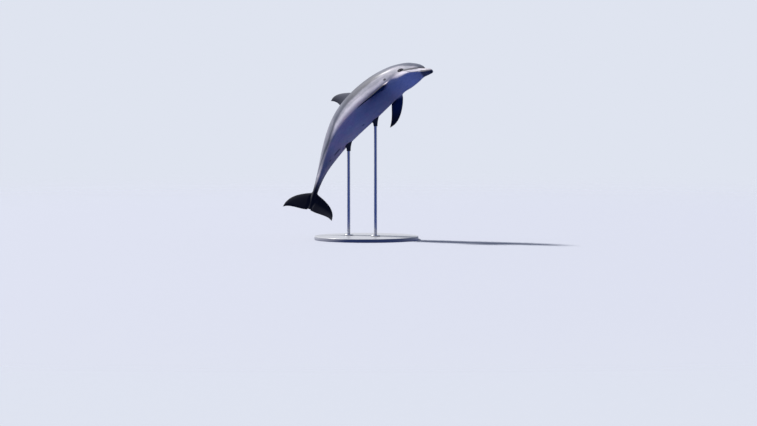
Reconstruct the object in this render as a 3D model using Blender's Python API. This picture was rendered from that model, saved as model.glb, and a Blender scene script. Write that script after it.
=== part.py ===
"""Leaping bottlenose dolphin, life size, held by a plain display stand.

The animal is drawn straight first: station s runs from the snout to the tail, y to its left and z to its
back. A bend then carries every point to the leap: a spine with its own pitch, yaw and roll at each station.
Every length of the body is a closed loft of rings, and each fin a closed loft of aerofoils cut to the body.
The origin is the middle of the stand's underside, with +Z up and the snout towards +X.
"""

import math

import bmesh
import bpy
import numpy as np

# ---------------------------------------------------------------- driving dimensions, metres and degrees

TOTAL_LENGTH = 2.5
PERCENT = TOTAL_LENGTH / 100
SNOUT_TIP = (0.762, -0.450, 1.960)
GAP = 0.0003

EYE_RADIUS = 0.017
EYE_PROUD = 0.004
EYE_STATION = 15.0
EYE_ANGLE = 4.0
BLOWHOLE_STATION = 13.2

STAND_RADIUS = 0.60
STAND_THICK = 0.04
STAND_BEVEL = 0.006
ROD_RADIUS = 0.0175
RODS = {"front": (0.105, -0.062), "rear": (-0.205, 0.092)}
COLLAR_RADIUS = 0.055
COLLAR_HEIGHT = 0.014
COLLAR_BEVEL = 0.003
PAD_RADIUS = 0.040
PAD_LENGTH = 0.070
PAD_WALL = 0.006

# The flukes' tips reach past the body's end, so the spine goes on to this part of the length.
SPINE_REACH = 1.04

# The leap, at stations in percent of the length: pitch of the spine above level, yaw of the head end towards
# -Y, and roll of the belly towards -Y, in degrees.
POSE = (
    (0, 4, 38, 48),
    (15, 21, 31, 42),
    (30, 38, 15, 36),
    (45, 47, 18, 43),
    (60, 59, 25, 52),
    (75, 66, 14, 73),
    (90, 72, -11, 93),
    (102, 66, -33, 105),
)

# The outline of the body, in percent of the length: station, height of the back, depth of the belly, half
# width, and height of the widest line. In front of the eye the first height is that of the beak and brow,
# without the melon.
PROFILE = (
    (0.0, -0.95, -1.05, 0.05, -1.00),
    (0.5, -0.30, -1.75, 0.85, -1.00),
    (1.8, 0.25, -2.25, 1.28, -1.20),
    (3.4, 0.52, -2.55, 1.55, -1.30),
    (5.0, 0.80, -2.60, 1.80, -1.50),
    (7.0, 1.45, -2.76, 2.48, -1.60),
    (9.5, 2.80, -3.25, 3.50, -1.55),
    (12.5, 4.95, -4.15, 4.48, -1.30),
    (15.5, 5.82, -5.28, 5.26, -0.75),
    (20.0, 6.65, -6.45, 6.32, -0.45),
    (26.0, 7.45, -7.50, 7.10, -0.30),
    (33.0, 8.10, -8.30, 7.60, -0.30),
    (40.0, 8.45, -8.60, 7.75, -0.20),
    (48.0, 8.30, -8.15, 7.45, 0.00),
    (56.0, 7.55, -7.05, 6.55, 0.10),
    (64.0, 6.45, -5.65, 5.15, 0.20),
    (72.0, 5.25, -4.50, 3.65, 0.20),
    (80.0, 3.85, -3.45, 2.15, 0.10),
    (86.0, 2.90, -2.75, 1.45, 0.00),
    (91.0, 1.45, -1.45, 1.20, 0.00),
    (95.5, 0.66, -0.66, 1.20, 0.00),
    (99.0, 0.28, -0.28, 0.60, 0.00),
)
# The power of the sections' super-ellipses. Below the middle of the jaws it is greater by JAW_SQUARENESS,
# which comes in over the first two stations and goes out over the others.
SECTION_POWER = 2.15
JAW_SQUARENESS = 2.0
JAW_SQUARE_FROM = (1.5, 6.0)
JAW_SQUARE_TO = (11.0, 20.0)

# The melon stands on the brow from MELON_FRONT, is full at MELON_BACK and runs out over MELON_TAIL. Its
# height and half width are given at the first two; its depth is a part of its half width.
MELON_FRONT = 4.8
MELON_BACK = 16.0
MELON_TAIL = (30.0, 40.0)
MELON_HEIGHT = (4.95, 5.60)
MELON_WIDTH = (3.05, 4.85)
MELON_DEPTH = 0.42
# It rises from the brow over this part of its length, and starts from this size.
MELON_RISE = 0.005
MELON_LEAST = 0.001
# How softly melon and brow run into each other: at the crease, and how much more further back, with the
# stations over which each comes in.
CREASE_SOFTNESS = 0.22
CREASE_SOFT_OVER = (1.0, 4.0)
MELON_SOFTNESS = 0.40
MELON_SOFT_OVER = (7.0, 13.0)

# The mouth line at stations in percent: its height. It ends at the corner of the mouth.
MOUTH = ((0.0, -1.05), (2.0, -1.25), (4.5, -1.65), (7.0, -2.20), (9.5, -2.50), (11.8, -2.00))
MOUTH_GAP = 0.001
JAW_LEAD = 0.3

# Where the body behind the head is parted into its lengths, and the distance between rings there, in percent.
HEAD_END = 17.2
LENGTHS = (
    ("neck", HEAD_END, 20.8, 2.6),
    ("trunk_front", 20.8, 38.5, 2.6),
    ("trunk_rear", 38.5, 59.0, 2.6),
    ("tail_stock_front", 59.0, 76.0, 2.6),
    ("tail_stock_rear", 76.0, 99.0, 2.2),
)
BODY_END = LENGTHS[-1][2]


# ---------------------------------------------------------------- curves

def spline(x, table, column, power=1.0):
    """Natural cubic spline through a table's column, against a power of the station."""
    table = np.asarray(table, float)
    knots, values = table[:, 0] ** power, table[:, column]
    gaps = np.diff(knots)
    count = len(knots)
    matrix, right = np.eye(count), np.zeros(count)
    for i in range(1, count - 1):
        matrix[i, i - 1:i + 2] = gaps[i - 1], 2 * (gaps[i - 1] + gaps[i]), gaps[i]
        right[i] = 6 * ((values[i + 1] - values[i]) / gaps[i] - (values[i] - values[i - 1]) / gaps[i - 1])
    bends = np.linalg.solve(matrix, right)
    t = np.clip(x, table[0, 0], table[-1, 0]) ** power
    i = np.clip(np.searchsorted(knots, t, side="right") - 1, 0, count - 2)
    before, after, gap = t - knots[i], knots[i + 1] - t, gaps[i]
    cubic = (bends[i] * after**3 + bends[i + 1] * before**3) / (6 * gap)
    line = (values[i] / gap - bends[i] * gap / 6) * after
    return cubic + line + (values[i + 1] / gap - bends[i + 1] * gap / 6) * before


def bezier(v, *points):
    """Bezier curve of any degree at the parameters v."""
    points = np.asarray(points, float)
    degree = len(points) - 1
    v = np.asarray(v, float)[:, None]
    weights = (math.comb(degree, k) * (1 - v) ** (degree - k) * v**k for k in range(degree + 1))
    return sum(weight * point for weight, point in zip(weights, points))


def eased(x, start, end):
    """0 before start, 1 after end, smooth between."""
    t = np.clip((x - start) / (end - start), 0, 1)
    return t * t * (3 - 2 * t)


# ---------------------------------------------------------------- the bend

def spine():
    """Stations in metres, the spine's points, and the headward, back and left directions there."""
    s = np.linspace(0, SPINE_REACH * TOTAL_LENGTH, 521)
    pitch, yaw, roll = (np.radians(spline(s / PERCENT, POSE, k))[:, None] for k in (1, 2, 3))
    x, y, z = np.eye(3)
    level = np.cos(pitch) * x + np.sin(pitch) * z
    upright = np.cos(pitch) * z - np.sin(pitch) * x
    forward = np.cos(yaw) * level - np.sin(yaw) * y
    side = -np.cos(yaw) * y - np.sin(yaw) * level
    back = np.cos(roll) * upright - np.sin(roll) * side
    left = -np.cos(roll) * side - np.sin(roll) * upright
    step = np.diff(s)[:, None]
    path = np.vstack([np.zeros(3), -np.cumsum((forward[1:] + forward[:-1]) / 2 * step, axis=0)])
    return s, path + SNOUT_TIP, forward, back, left


SPINE = spine()


def bend(points):
    """Carries straight points (s, y, z) in metres to the leap."""
    s, path, forward, back, left = SPINE
    flat = np.asarray(points, float).reshape(-1, 3)
    inside = np.clip(flat[:, 0], s[0], s[-1])
    where, ahead, up, aside = (
        np.stack([np.interp(inside, s, table[:, k]) for k in range(3)], axis=1)
        for table in (path, forward, back, left)
    )
    beyond = (flat[:, 0] - inside)[:, None]
    bent = where - ahead * beyond + aside * flat[:, 1:2] + up * flat[:, 2:3]
    return bent.reshape(np.shape(points))


# ---------------------------------------------------------------- the body's sections

def super_ellipse(angle, width, top, bottom, power_below):
    """Radius at an angle of a rounded section with its own height above and depth below its centre. The
    greater power_below is, the squarer the section is below its centre."""
    below = np.sin(angle) < 0
    height, power = np.where(below, bottom, top), np.where(below, power_below, SECTION_POWER)
    across = np.abs(np.cos(angle) / width) ** power
    upwards = np.abs(np.sin(angle) / height) ** power
    return (across + upwards) ** (-1 / power)


def section(station, angle, grow=0.0):
    """(y, z) in metres of the body's surface at stations in percent and angles from the left side upwards.

    Behind the eye it is one super-ellipse. In front, the brow and jaws are one and the melon another, with a
    blunt round front, and the surface is the greater of the two, softened where they meet at the crease.
    """
    top, bottom, width, middle = (spline(station, PROFILE, k, power=0.5) for k in (1, 2, 3, 4))
    in_jaws = eased(station, *JAW_SQUARE_FROM) * (1 - eased(station, *JAW_SQUARE_TO))
    square = SECTION_POWER + JAW_SQUARENESS * in_jaws
    plain = super_ellipse(angle, width, top - middle, middle - bottom, square)
    x = np.clip((station - MELON_FRONT) / (MELON_BACK - MELON_FRONT), 0, 1)
    tall = (MELON_HEIGHT[0] + (MELON_HEIGHT[1] - MELON_HEIGHT[0]) * x) * np.sqrt(1 - (1 - x) ** 2)
    wide = (MELON_WIDTH[0] + (MELON_WIDTH[1] - MELON_WIDTH[0]) * x) * np.sqrt(1 - (1 - x) ** 3)
    wide = wide + MELON_LEAST
    melon = super_ellipse(angle, wide, tall - middle, MELON_DEPTH * wide, square)
    melon = melon * np.minimum(x / MELON_RISE, 1) * (1 - eased(station, *MELON_TAIL))
    soft = CREASE_SOFTNESS * eased(station, *CREASE_SOFT_OVER)
    soft = soft + MELON_SOFTNESS * eased(station, *MELON_SOFT_OVER)
    soft = soft * (1 - eased(station, MELON_BACK, MELON_TAIL[0]))
    radius = (plain + melon + np.sqrt((plain - melon) ** 2 + soft**2)) / 2 * PERCENT + grow
    return radius * np.cos(angle), radius * np.sin(angle) + middle * PERCENT


def body_rings(stations, angles, grow=0.0):
    """Rings of the straight body: an array (stations, angles, 3)."""
    station, angle = np.broadcast_arrays(np.asarray(stations)[:, None], np.asarray(angles))
    y, z = section(station, angle, grow)
    return np.stack([station * PERCENT, y, z], axis=2)


def mouth_height(station):
    """Height of the mouth line, in metres."""
    return spline(np.maximum(station, 0), MOUTH, 1) * PERCENT


def mouth_angle(station):
    """Angle on the left side where the section passes the mouth line, for each station."""
    angles = np.radians(np.linspace(-80, 25, 211))
    heights = body_rings(station, angles)[:, :, 2]
    levels = mouth_height(np.minimum(station, MOUTH[-1][0]))
    return np.array([np.interp(level, row, angles) for level, row in zip(levels, heights)])


# ---------------------------------------------------------------- fins

# Planforms in percent of the length: the leading and trailing edges as cubic Beziers from root to tip, and
# the greatest thickness at the root. The dorsal fin's points are (station, height), the fluke's (station,
# distance out), and the flipper's (along the span, towards the trailing edge) as parts of its length.
DORSAL_FIN = {
    "leading": ((38.2, 6.4), (43.2, 10.4), (50.0, 20.0), (54.7, 18.4)),
    "trailing": ((52.8, 6.0), (50.9, 9.5), (50.9, 13.6), (54.7, 18.4)),
    "thick": 1.05,
}
FLUKE = {
    "leading": ((90.6, 0.0), (92.4, 4.6), (94.8, 11.9), (101.8, 12.1)),
    "trailing": ((99.1, 0.0), (101.0, 2.6), (99.1, 9.3), (101.8, 12.1)),
    "thick": 0.72,
}
FLIPPER_LENGTH = 17.6
FLIPPER_FRONT = (22.0, 5.2, -3.2)
FLIPPER_REAR = (27.6, 5.6, -4.2)
FLIPPER = {
    "leading": ((0.30, -0.20), (0.89, -0.15), (1.05, 0.24)),
    "trailing": ((0.25, 0.33), (0.64, 0.11), (1.05, 0.24)),
    "thick": 0.75,
}
# How each flipper is held: degrees it is swept back from straight out, lowered, and twisted about its span.
FLIPPER_LEFT = (47, 58, 43)
FLIPPER_RIGHT = (62, 34, 4)
# The span starts this part of the length behind the root's front point.
FLIPPER_SETBACK = 0.05

# Half thickness of a fin at its tip, and the powers by which it falls towards tip and trailing edge.
FIN_TIP = 0.0012
FIN_TAPER = 0.75
FIN_RUN_OUT = 0.85


def aerofoil(leading, trailing, thick, chords=8):
    """Closed loops round a fin: from the leading edge over one face to the trailing edge and back."""
    across = 0.5 - 0.5 * np.cos(np.linspace(0, math.pi, chords))
    depth = np.sqrt(across) * (1 - across) ** FIN_RUN_OUT
    depth = (depth / depth.max())[:, None]
    chord = leading[:, None] + (trailing - leading)[:, None] * across[:, None]
    upper, lower = chord + thick[:, None] * depth, chord - thick[:, None] * depth
    return np.concatenate([upper, lower[:, -2:0:-1]], axis=1)


def taper(v, thick):
    """Half thickness in metres along a fin, from the root to its thin tip."""
    return (thick * PERCENT * (1 - v) ** FIN_TAPER + FIN_TIP)[:, None]


def dorsal_fin_rings(rows=12):
    v = np.linspace(0, 1, rows)
    edges = []
    for edge in ("leading", "trailing"):
        curve = bezier(v, *DORSAL_FIN[edge]) * PERCENT
        edges.append(np.stack([curve[:, 0], 0 * v, curve[:, 1]], axis=1))
    return aerofoil(*edges, taper(v, DORSAL_FIN["thick"]) * (0, 1, 0))


def fluke_rings(side, rows=13):
    v = np.linspace(0, 1, rows)
    edges = []
    for edge in ("leading", "trailing"):
        curve = bezier(v, *FLUKE[edge]) * PERCENT
        edges.append(np.stack([curve[:, 0], side * (curve[:, 1] + GAP / 2), 0 * v], axis=1))
    return aerofoil(*edges, taper(v, FLUKE["thick"]) * (0, 0, 1))


def flipper_rings(side, held, rows=12):
    """The blade leaves the body at the front and rear points of its root and turns into its span."""
    back, down, twist = np.radians(held)
    outward = np.array([0, math.cos(down), -math.sin(down)])
    tailward = np.array([1.0, 0, 0])
    span = math.cos(back) * outward + math.sin(back) * tailward
    chord = math.cos(back) * tailward - math.sin(back) * outward
    normal = np.cross(span, chord)
    chord = math.cos(twist) * chord + math.sin(twist) * normal
    normal = np.cross(span, chord)
    length = FLIPPER_LENGTH * PERCENT
    front, rear = (np.array(p) * PERCENT for p in (FLIPPER_FRONT, FLIPPER_REAR))
    shoulder = front + FLIPPER_SETBACK * length * tailward
    v = np.linspace(0, 1, rows)
    edges = []
    for root, edge in ((front, "leading"), (rear, "trailing")):
        points = [shoulder + length * (a * span + b * chord) for a, b in FLIPPER[edge]]
        edges.append(bezier(v, root, *points))
    rings = aerofoil(*edges, taper(v, FLIPPER["thick"]) * normal)
    return rings * (1, side, 1)


# ---------------------------------------------------------------- meshes

AROUND = 28
RING_ANGLES = np.arange(AROUND) * 2 * math.pi / AROUND
PART_GAP = GAP / TOTAL_LENGTH * 100

COLOURS = {
    "back": (0.16, 0.17, 0.20),
    "fin": (0.07, 0.07, 0.09),
    "jaw": (0.42, 0.42, 0.46),
    "eye": (0.01, 0.01, 0.01),
    "board": (0.62, 0.63, 0.64),
    "steel": (0.55, 0.56, 0.58),
    "pad": (0.03, 0.03, 0.03),
}


def clear_scene():
    for thing in list(bpy.data.objects):
        bpy.data.objects.remove(thing)


def material(name, colour, roughness, metallic=0.0):
    made = bpy.data.materials.new(name)
    made.use_nodes = True
    shader = made.node_tree.nodes["Principled BSDF"]
    shader.inputs["Base Color"].default_value = (*COLOURS[colour], 1)
    shader.inputs["Roughness"].default_value = roughness
    shader.inputs["Metallic"].default_value = metallic
    return made


def add_object(name, mesh, colour=None, roughness=0.3, metallic=0.0):
    """An object in the scene. Without a colour it is a cutter."""
    thing = bpy.data.objects.new(name, mesh)
    bpy.context.scene.collection.objects.link(thing)
    if colour is None:
        thing.hide_render = True
        thing.display_type = "WIRE"
    else:
        mesh.materials.append(material(name, colour, roughness, metallic))
        mesh.shade_smooth()
        mesh.set_sharp_from_angle(angle=math.radians(40))
    return thing


def loft(name, rings, colour=None, **looks):
    """A closed skin over rings of points, every quad split the same way, with a fan at both ends."""
    count, around = rings.shape[:2]
    middles = rings[[0, -1]].mean(axis=1)
    points = np.vstack([rings.reshape(-1, 3), middles])
    i, j = np.meshgrid(np.arange(count - 1), np.arange(around), indexing="ij")
    a, b = i * around + j, i * around + (j + 1) % around
    c, d = b + around, a + around
    sides = np.concatenate([np.stack([a, b, c], 2).reshape(-1, 3), np.stack([a, c, d], 2).reshape(-1, 3)])
    rim = np.arange(around)
    after = (rim + 1) % around
    last = (count - 1) * around
    front = np.stack([after, rim, np.full(around, count * around)], axis=1)
    back = np.stack([last + rim, last + after, np.full(around, count * around + 1)], axis=1)
    faces = np.concatenate([sides, front, back])
    corners = points[faces]
    if np.linalg.det(corners - points.mean(axis=0)).sum() < 0:
        faces = faces[:, ::-1]
    mesh = bpy.data.meshes.new(name)
    mesh.from_pydata(points.tolist(), [], faces.tolist())
    return add_object(name, mesh, colour, **looks)


def cylinder(name, radius, low, high, place, colour=None, top_radius=None, bevel=0.0, sides=20, **looks):
    """An upright cylinder or cone between two heights."""
    form = bmesh.new()
    bmesh.ops.create_cone(
        form, cap_ends=True, segments=sides, radius1=radius, radius2=top_radius or radius, depth=high - low
    )
    mesh = bpy.data.meshes.new(name)
    form.to_mesh(mesh)
    form.free()
    thing = add_object(name, mesh, colour, **looks)
    thing.location = (*place, (low + high) / 2)
    if bevel:
        rounding = thing.modifiers.new("edge", "BEVEL")
        rounding.width = bevel
        rounding.segments = 2
        rounding.limit_method = "ANGLE"
    return thing


def sphere(name, radius, place, colour=None, **looks):
    form = bmesh.new()
    bmesh.ops.create_uvsphere(form, u_segments=14, v_segments=8, radius=radius)
    mesh = bpy.data.meshes.new(name)
    form.to_mesh(mesh)
    form.free()
    thing = add_object(name, mesh, colour, **looks)
    thing.location = place
    return thing


def cut(thing, *cutters):
    for cutter in cutters:
        boolean = thing.modifiers.new(cutter.name, "BOOLEAN")
        boolean.operation = "DIFFERENCE"
        boolean.solver = "EXACT"
        boolean.object = cutter


# ---------------------------------------------------------------- the animal

def jaw_shift(stations):
    """Stations of the lower jaw's own outline, which is stretched forward to lead the upper jaw's tip."""
    corner = MOUTH[-1][0]
    return (stations + JAW_LEAD) / (1 + JAW_LEAD / corner)


def mouth_rings(stations, upper):
    """Rings of the head above or below the mouth line: the skin's arc, closed by a flat across the mouth."""
    half = AROUND // 2
    outline = stations if upper else jaw_shift(stations)
    level = mouth_height(stations) + (MOUTH_GAP / 2 if upper else -MOUTH_GAP / 2)
    rings = []
    for station, own, angle, height in zip(stations, outline, mouth_angle(outline), level):
        turns = (angle, math.pi - angle) if upper else (math.pi - angle, 2 * math.pi + angle)
        arc = body_rings([own], np.linspace(*turns, half + 1))[0]
        arc[:, 0] = station * PERCENT
        arc[[0, -1], 2] = height
        share = np.linspace(0, 1, half + 1)[1:-1, None]
        flat = arc[-1] + (arc[0] - arc[-1]) * share
        rings.append(np.vstack([arc, flat]))
    return np.array(rings)


def whole_rings(stations):
    """Rings of the head behind the mouth, with their points in the same order as the upper jaw's."""
    half = AROUND // 2
    rings = []
    for station, angle in zip(stations, mouth_angle(stations)):
        upper = np.linspace(angle, math.pi - angle, half + 1)
        lower = np.linspace(math.pi - angle, 2 * math.pi + angle, half + 1)[1:-1]
        rings.append(body_rings([station], np.concatenate([upper, lower]))[0])
    return np.array(rings)


def make_head():
    """The head with its upper jaw, and the lower jaw, whose rings share the beak's stations."""
    corner = MOUTH[-1][0]
    beak = np.array([0.03, 0.25, 0.6, 1.2, 2.2, 3.4, 4.4, 4.85, 5.2, 5.7, 6.4, 7.4, 8.6, 9.8, 10.9])
    mouth = mouth_rings(np.append(beak, corner - 0.05), upper=True)
    cheek = np.linspace(corner + 0.05, HEAD_END - 1, 4)
    whole = whole_rings(np.append(cheek, HEAD_END - PART_GAP / 2))
    head = loft("head", bend(np.concatenate([mouth, whole])), "back")
    jaw = mouth_rings(np.concatenate([[0.02 - JAW_LEAD, -JAW_LEAD / 2], beak, [corner - 0.12]]), upper=False)
    loft("lower_jaw", bend(jaw), "jaw")
    return head


def surface_point(station, degrees):
    """A point of the bent skin and its outward direction."""
    angle = math.radians(degrees)
    here = bend(body_rings([station], [angle]))[0, 0]
    along = bend(body_rings([station + 0.4], [angle]))[0, 0] - here
    around = bend(body_rings([station], [angle + 0.05]))[0, 0] - here
    outward = np.cross(around, along)
    inner = bend([[station * PERCENT, 0, 0]])[0]
    outward *= np.sign(np.dot(outward, here - inner))
    return here, outward / np.linalg.norm(outward)


def make_eyes(head):
    for name, degrees in (("eye_left", EYE_ANGLE), ("eye_right", 180 - EYE_ANGLE)):
        here, outward = surface_point(EYE_STATION, degrees)
        middle = here + outward * (EYE_PROUD - EYE_RADIUS)
        sphere(name, EYE_RADIUS, middle, "eye", roughness=0.05)
        cut(head, sphere(name + "_socket", EYE_RADIUS + GAP, middle))


def make_blowhole(head, width=0.017, reach=0.011, radius=0.003):
    """A crescent groove across the top of the head, its horns forward and thinner than its middle."""
    turn = np.linspace(-0.5, 0.5, 9) * math.pi
    aside = width * np.sin(turn)
    station = BLOWHOLE_STATION * PERCENT + reach * np.cos(turn)
    crown = section(BLOWHOLE_STATION, math.pi / 2)[1]
    angle = math.pi / 2 - aside / crown
    path = bend(np.array([body_rings([s / PERCENT], [a])[0, 0] for s, a in zip(station, angle)]))
    ahead = np.gradient(path, axis=0)
    ahead /= np.linalg.norm(ahead, axis=1, keepdims=True)
    up = surface_point(BLOWHOLE_STATION, 90)[1]
    across = np.cross(ahead, up)
    round_angle = np.arange(8) * math.pi / 4
    size = radius * np.sqrt(1 - 0.85 * np.sin(turn) ** 2)[:, None, None]
    ring = across[:, None] * np.cos(round_angle)[:, None] + up * np.sin(round_angle)[:, None]
    cut(head, loft("blowhole_cutter", path[:, None] + size * ring))


def make_body():
    """The lengths behind the head, and the whole of it again, grown by the gap, as the fins' cutter."""
    stations = []
    for name, start, end, spacing in LENGTHS:
        along = np.linspace(start, end, max(3, round((end - start) / spacing) + 1))
        stations.extend(along)
        inner = along.copy()
        inner[0] += PART_GAP / 2
        if end < BODY_END:
            inner[-1] -= PART_GAP / 2
        loft(name, bend(body_rings(inner, RING_ANGLES)), "back")
    return loft("body_cutter", bend(body_rings(np.unique(stations), RING_ANGLES, grow=GAP)))


def make_fins(body):
    fins = {
        "dorsal_fin": dorsal_fin_rings(),
        "fluke_left": fluke_rings(1),
        "fluke_right": fluke_rings(-1),
        "flipper_left": flipper_rings(1, FLIPPER_LEFT),
        "flipper_right": flipper_rings(-1, FLIPPER_RIGHT),
    }
    for name, rings in fins.items():
        cut(loft(name, bend(rings), "fin"), body)


# ---------------------------------------------------------------- the stand

def belly_above(x, y):
    """Height at which an upright line meets the body."""
    skin = bend(body_rings(np.linspace(25, 75, 401), np.radians(np.arange(0, 360, 1.5)))).reshape(-1, 3)
    near = np.hypot(skin[:, 0] - x, skin[:, 1] - y) < ROD_RADIUS / 2
    return skin[near, 2].min()


def make_stand(body):
    cylinder("stand_base", STAND_RADIUS, 0, STAND_THICK, (0, 0), "board", bevel=STAND_BEVEL, sides=60)
    for end, place in RODS.items():
        belly = belly_above(*place)
        top = belly + 2 * PAD_RADIUS
        foot = STAND_THICK + GAP
        steel = {"colour": "steel", "roughness": 0.25, "metallic": 1.0}
        rod = cylinder(f"stand_rod_{end}", ROD_RADIUS, foot, top, place, **steel)
        bore = cylinder(f"rod_bore_{end}", ROD_RADIUS + GAP, foot - 0.01, top + 0.05, place)
        collar = cylinder(
            f"stand_collar_{end}", COLLAR_RADIUS, foot, foot + COLLAR_HEIGHT, place,
            bevel=COLLAR_BEVEL, **steel,
        )
        pad = cylinder(
            f"stand_pad_{end}", ROD_RADIUS + PAD_WALL, belly - PAD_LENGTH, top, place, "pad",
            top_radius=PAD_RADIUS, roughness=0.6,
        )
        cut(rod, body)
        cut(collar, bore)
        cut(pad, body, bore)


def main():
    clear_scene()
    head = make_head()
    make_eyes(head)
    make_blowhole(head)
    body = make_body()
    make_fins(body)
    make_stand(body)


main()
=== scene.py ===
"""Looks of a leaping bottlenose dolphin, life size, on a plain display stand.

The animal is drawn straight first and then bent: a point of the straight animal has a station along the body
from the snout, y to its left and z to its back. The skin is one closed mesh: a grid of rings and columns over
the body, in which patches are left open, and from each patch grow rings that make a fin, the lids round an
eye, the blowhole or a slit. Its points keep their straight place in the attribute "rest", and the colours of
the coat are worked out from that. The origin is the middle of the stand's underside, in metres, +Z up.
"""

import math
from functools import partial

import bpy
import numpy as np
from bpy.props import FloatProperty, FloatVectorProperty, PointerProperty
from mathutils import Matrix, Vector


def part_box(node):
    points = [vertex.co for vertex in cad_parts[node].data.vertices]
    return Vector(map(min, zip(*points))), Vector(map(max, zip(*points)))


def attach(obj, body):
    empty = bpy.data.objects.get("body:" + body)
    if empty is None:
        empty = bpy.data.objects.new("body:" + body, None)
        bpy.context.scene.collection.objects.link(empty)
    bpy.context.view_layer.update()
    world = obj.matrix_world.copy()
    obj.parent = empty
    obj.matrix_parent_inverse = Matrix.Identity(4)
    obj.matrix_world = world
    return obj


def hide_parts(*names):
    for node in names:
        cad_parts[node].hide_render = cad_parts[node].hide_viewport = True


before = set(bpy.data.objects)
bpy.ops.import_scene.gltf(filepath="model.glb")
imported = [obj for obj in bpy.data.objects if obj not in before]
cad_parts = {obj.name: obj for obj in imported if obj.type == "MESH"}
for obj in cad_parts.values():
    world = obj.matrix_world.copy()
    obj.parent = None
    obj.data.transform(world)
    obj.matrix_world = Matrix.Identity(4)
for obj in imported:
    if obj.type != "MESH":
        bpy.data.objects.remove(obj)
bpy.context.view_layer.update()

bl_info = {
    "name": "Leaping dolphin model",
    "version": (1, 0, 0),
    "blender": (4, 5, 0),
    "location": "View3D > Sidebar > Dolphin",
    "description": "Skin, eyes, stand and studio of a life-size leaping dolphin",
    "category": "Object",
}

# ---------------------------------------------------------------- the animal's own sizes

TOTAL_LENGTH = 2.5
PERCENT = TOTAL_LENGTH / 100
SNOUT_TIP = (0.762, -0.450, 1.960)
MM = 0.001

# Radius of an eyeball, how far it stands out of the head, and its station and angle on the left side.
EYE_RADIUS = 17 * MM
EYE_PROUD = 4 * MM
EYE_STATION = 15.0
EYE_ANGLE = 4.0

# The leap, at stations in percent of the length: pitch of the spine above level, yaw of the head end towards
# -Y, and roll of the belly towards -Y, in degrees.
POSE = (
    (0, 4, 38, 48),
    (15, 21, 31, 42),
    (30, 38, 15, 36),
    (45, 47, 18, 43),
    (60, 59, 25, 52),
    (75, 66, 14, 73),
    (90, 72, -11, 93),
    (102, 66, -33, 105),
)
# The spine goes on past the notch of the flukes, to this part of the length.
SPINE_REACH = 1.04
SPINE_POINTS = 521

# The outline of the body, in percent of the length: station, height of the back, depth of the belly, half
# width, and height of the widest line. In front of the eye the first height is that of the beak and brow,
# without the melon.
PROFILE = (
    (0.0, -0.95, -1.05, 0.05, -1.00),
    (0.5, -0.30, -1.75, 0.85, -1.00),
    (1.8, 0.25, -2.25, 1.28, -1.20),
    (3.4, 0.52, -2.55, 1.55, -1.30),
    (5.0, 0.80, -2.60, 1.80, -1.50),
    (7.0, 1.45, -2.76, 2.48, -1.60),
    (9.5, 2.80, -3.25, 3.50, -1.55),
    (12.5, 4.95, -4.15, 4.48, -1.30),
    (15.5, 5.82, -5.28, 5.26, -0.75),
    (20.0, 6.65, -6.45, 6.32, -0.45),
    (26.0, 7.45, -7.50, 7.10, -0.30),
    (33.0, 8.10, -8.30, 7.60, -0.30),
    (40.0, 8.45, -8.60, 7.75, -0.20),
    (48.0, 8.30, -8.15, 7.45, 0.00),
    (56.0, 7.55, -7.05, 6.55, 0.10),
    (64.0, 6.45, -5.65, 5.15, 0.20),
    (72.0, 5.25, -4.50, 3.65, 0.20),
    (80.0, 3.85, -3.45, 2.15, 0.10),
    (86.0, 2.90, -2.75, 1.45, 0.00),
    (91.0, 1.45, -1.45, 1.20, 0.00),
    (95.5, 0.66, -0.66, 1.20, 0.00),
    (99.0, 0.28, -0.28, 0.60, 0.00),
)
BODY_END = PROFILE[-1][0]

# The power of the sections' super-ellipses. Below the middle of the jaws it is greater by JAW_SQUARENESS,
# which comes in over the first two stations and goes out over the others.
SECTION_POWER = 2.15
JAW_SQUARENESS = 2.0
JAW_SQUARE_FROM = (1.5, 6.0)
JAW_SQUARE_TO = (11.0, 20.0)

# The melon stands on the brow from MELON_FRONT, is full at MELON_BACK and runs out over MELON_TAIL. Its
# height and half width are given at the first two; its depth is a part of its half width.
MELON_FRONT = 4.8
MELON_BACK = 16.0
MELON_TAIL = (30.0, 40.0)
MELON_HEIGHT = (4.95, 5.60)
MELON_WIDTH = (3.05, 4.85)
MELON_DEPTH = 0.42
# It rises from the brow over this part of its length, and starts from this size.
MELON_RISE = 0.005
MELON_LEAST = 0.001
# How softly melon and brow run into each other: at the crease, and how much more further back, with the
# stations over which each comes in.
CREASE_SOFTNESS = 0.22
CREASE_SOFT_OVER = (1.0, 4.0)
MELON_SOFTNESS = 0.40
MELON_SOFT_OVER = (7.0, 13.0)

# The mouth line at stations in percent: its height. It ends at the corner of the mouth.
MOUTH = ((0.0, -1.05), (2.0, -1.25), (4.5, -1.65), (7.0, -2.20), (9.5, -2.50), (11.8, -2.00))
MOUTH_CORNER = MOUTH[-1][0]
# How far the lower jaw's tip leads, in stations.
JAW_LEAD = 0.3
# The groove of the mouth fades out over these stations, and with the radius of sections thinner than this.
GROOVE_FADE = (MOUTH_CORNER - 0.5, MOUTH_CORNER + 0.3)
GROOVE_THIN = 12 * MM
# The full lips, in widths of the groove: the distance of their middle from it, and their half width.
LIP_AWAY = 3.2
LIP_WIDE = 2
# The fold at the corner of the mouth: its depth, half length and half height, how many stations it lies
# behind the corner, and how far below it.
FOLD_DEPTH = 1.3 * MM
FOLD_LONG = 3 * MM
FOLD_TALL = 10 * MM
FOLD_BEHIND = 0.25
FOLD_BELOW = 2 * MM
# The crease round the melon: its half width, and the stations over which it comes in and fades out.
CREASE_WIDE = 4.5 * MM
CREASE_FROM = (MELON_FRONT - 0.5, MELON_FRONT + 0.2)
CREASE_TO = (7.5, 11)

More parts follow.
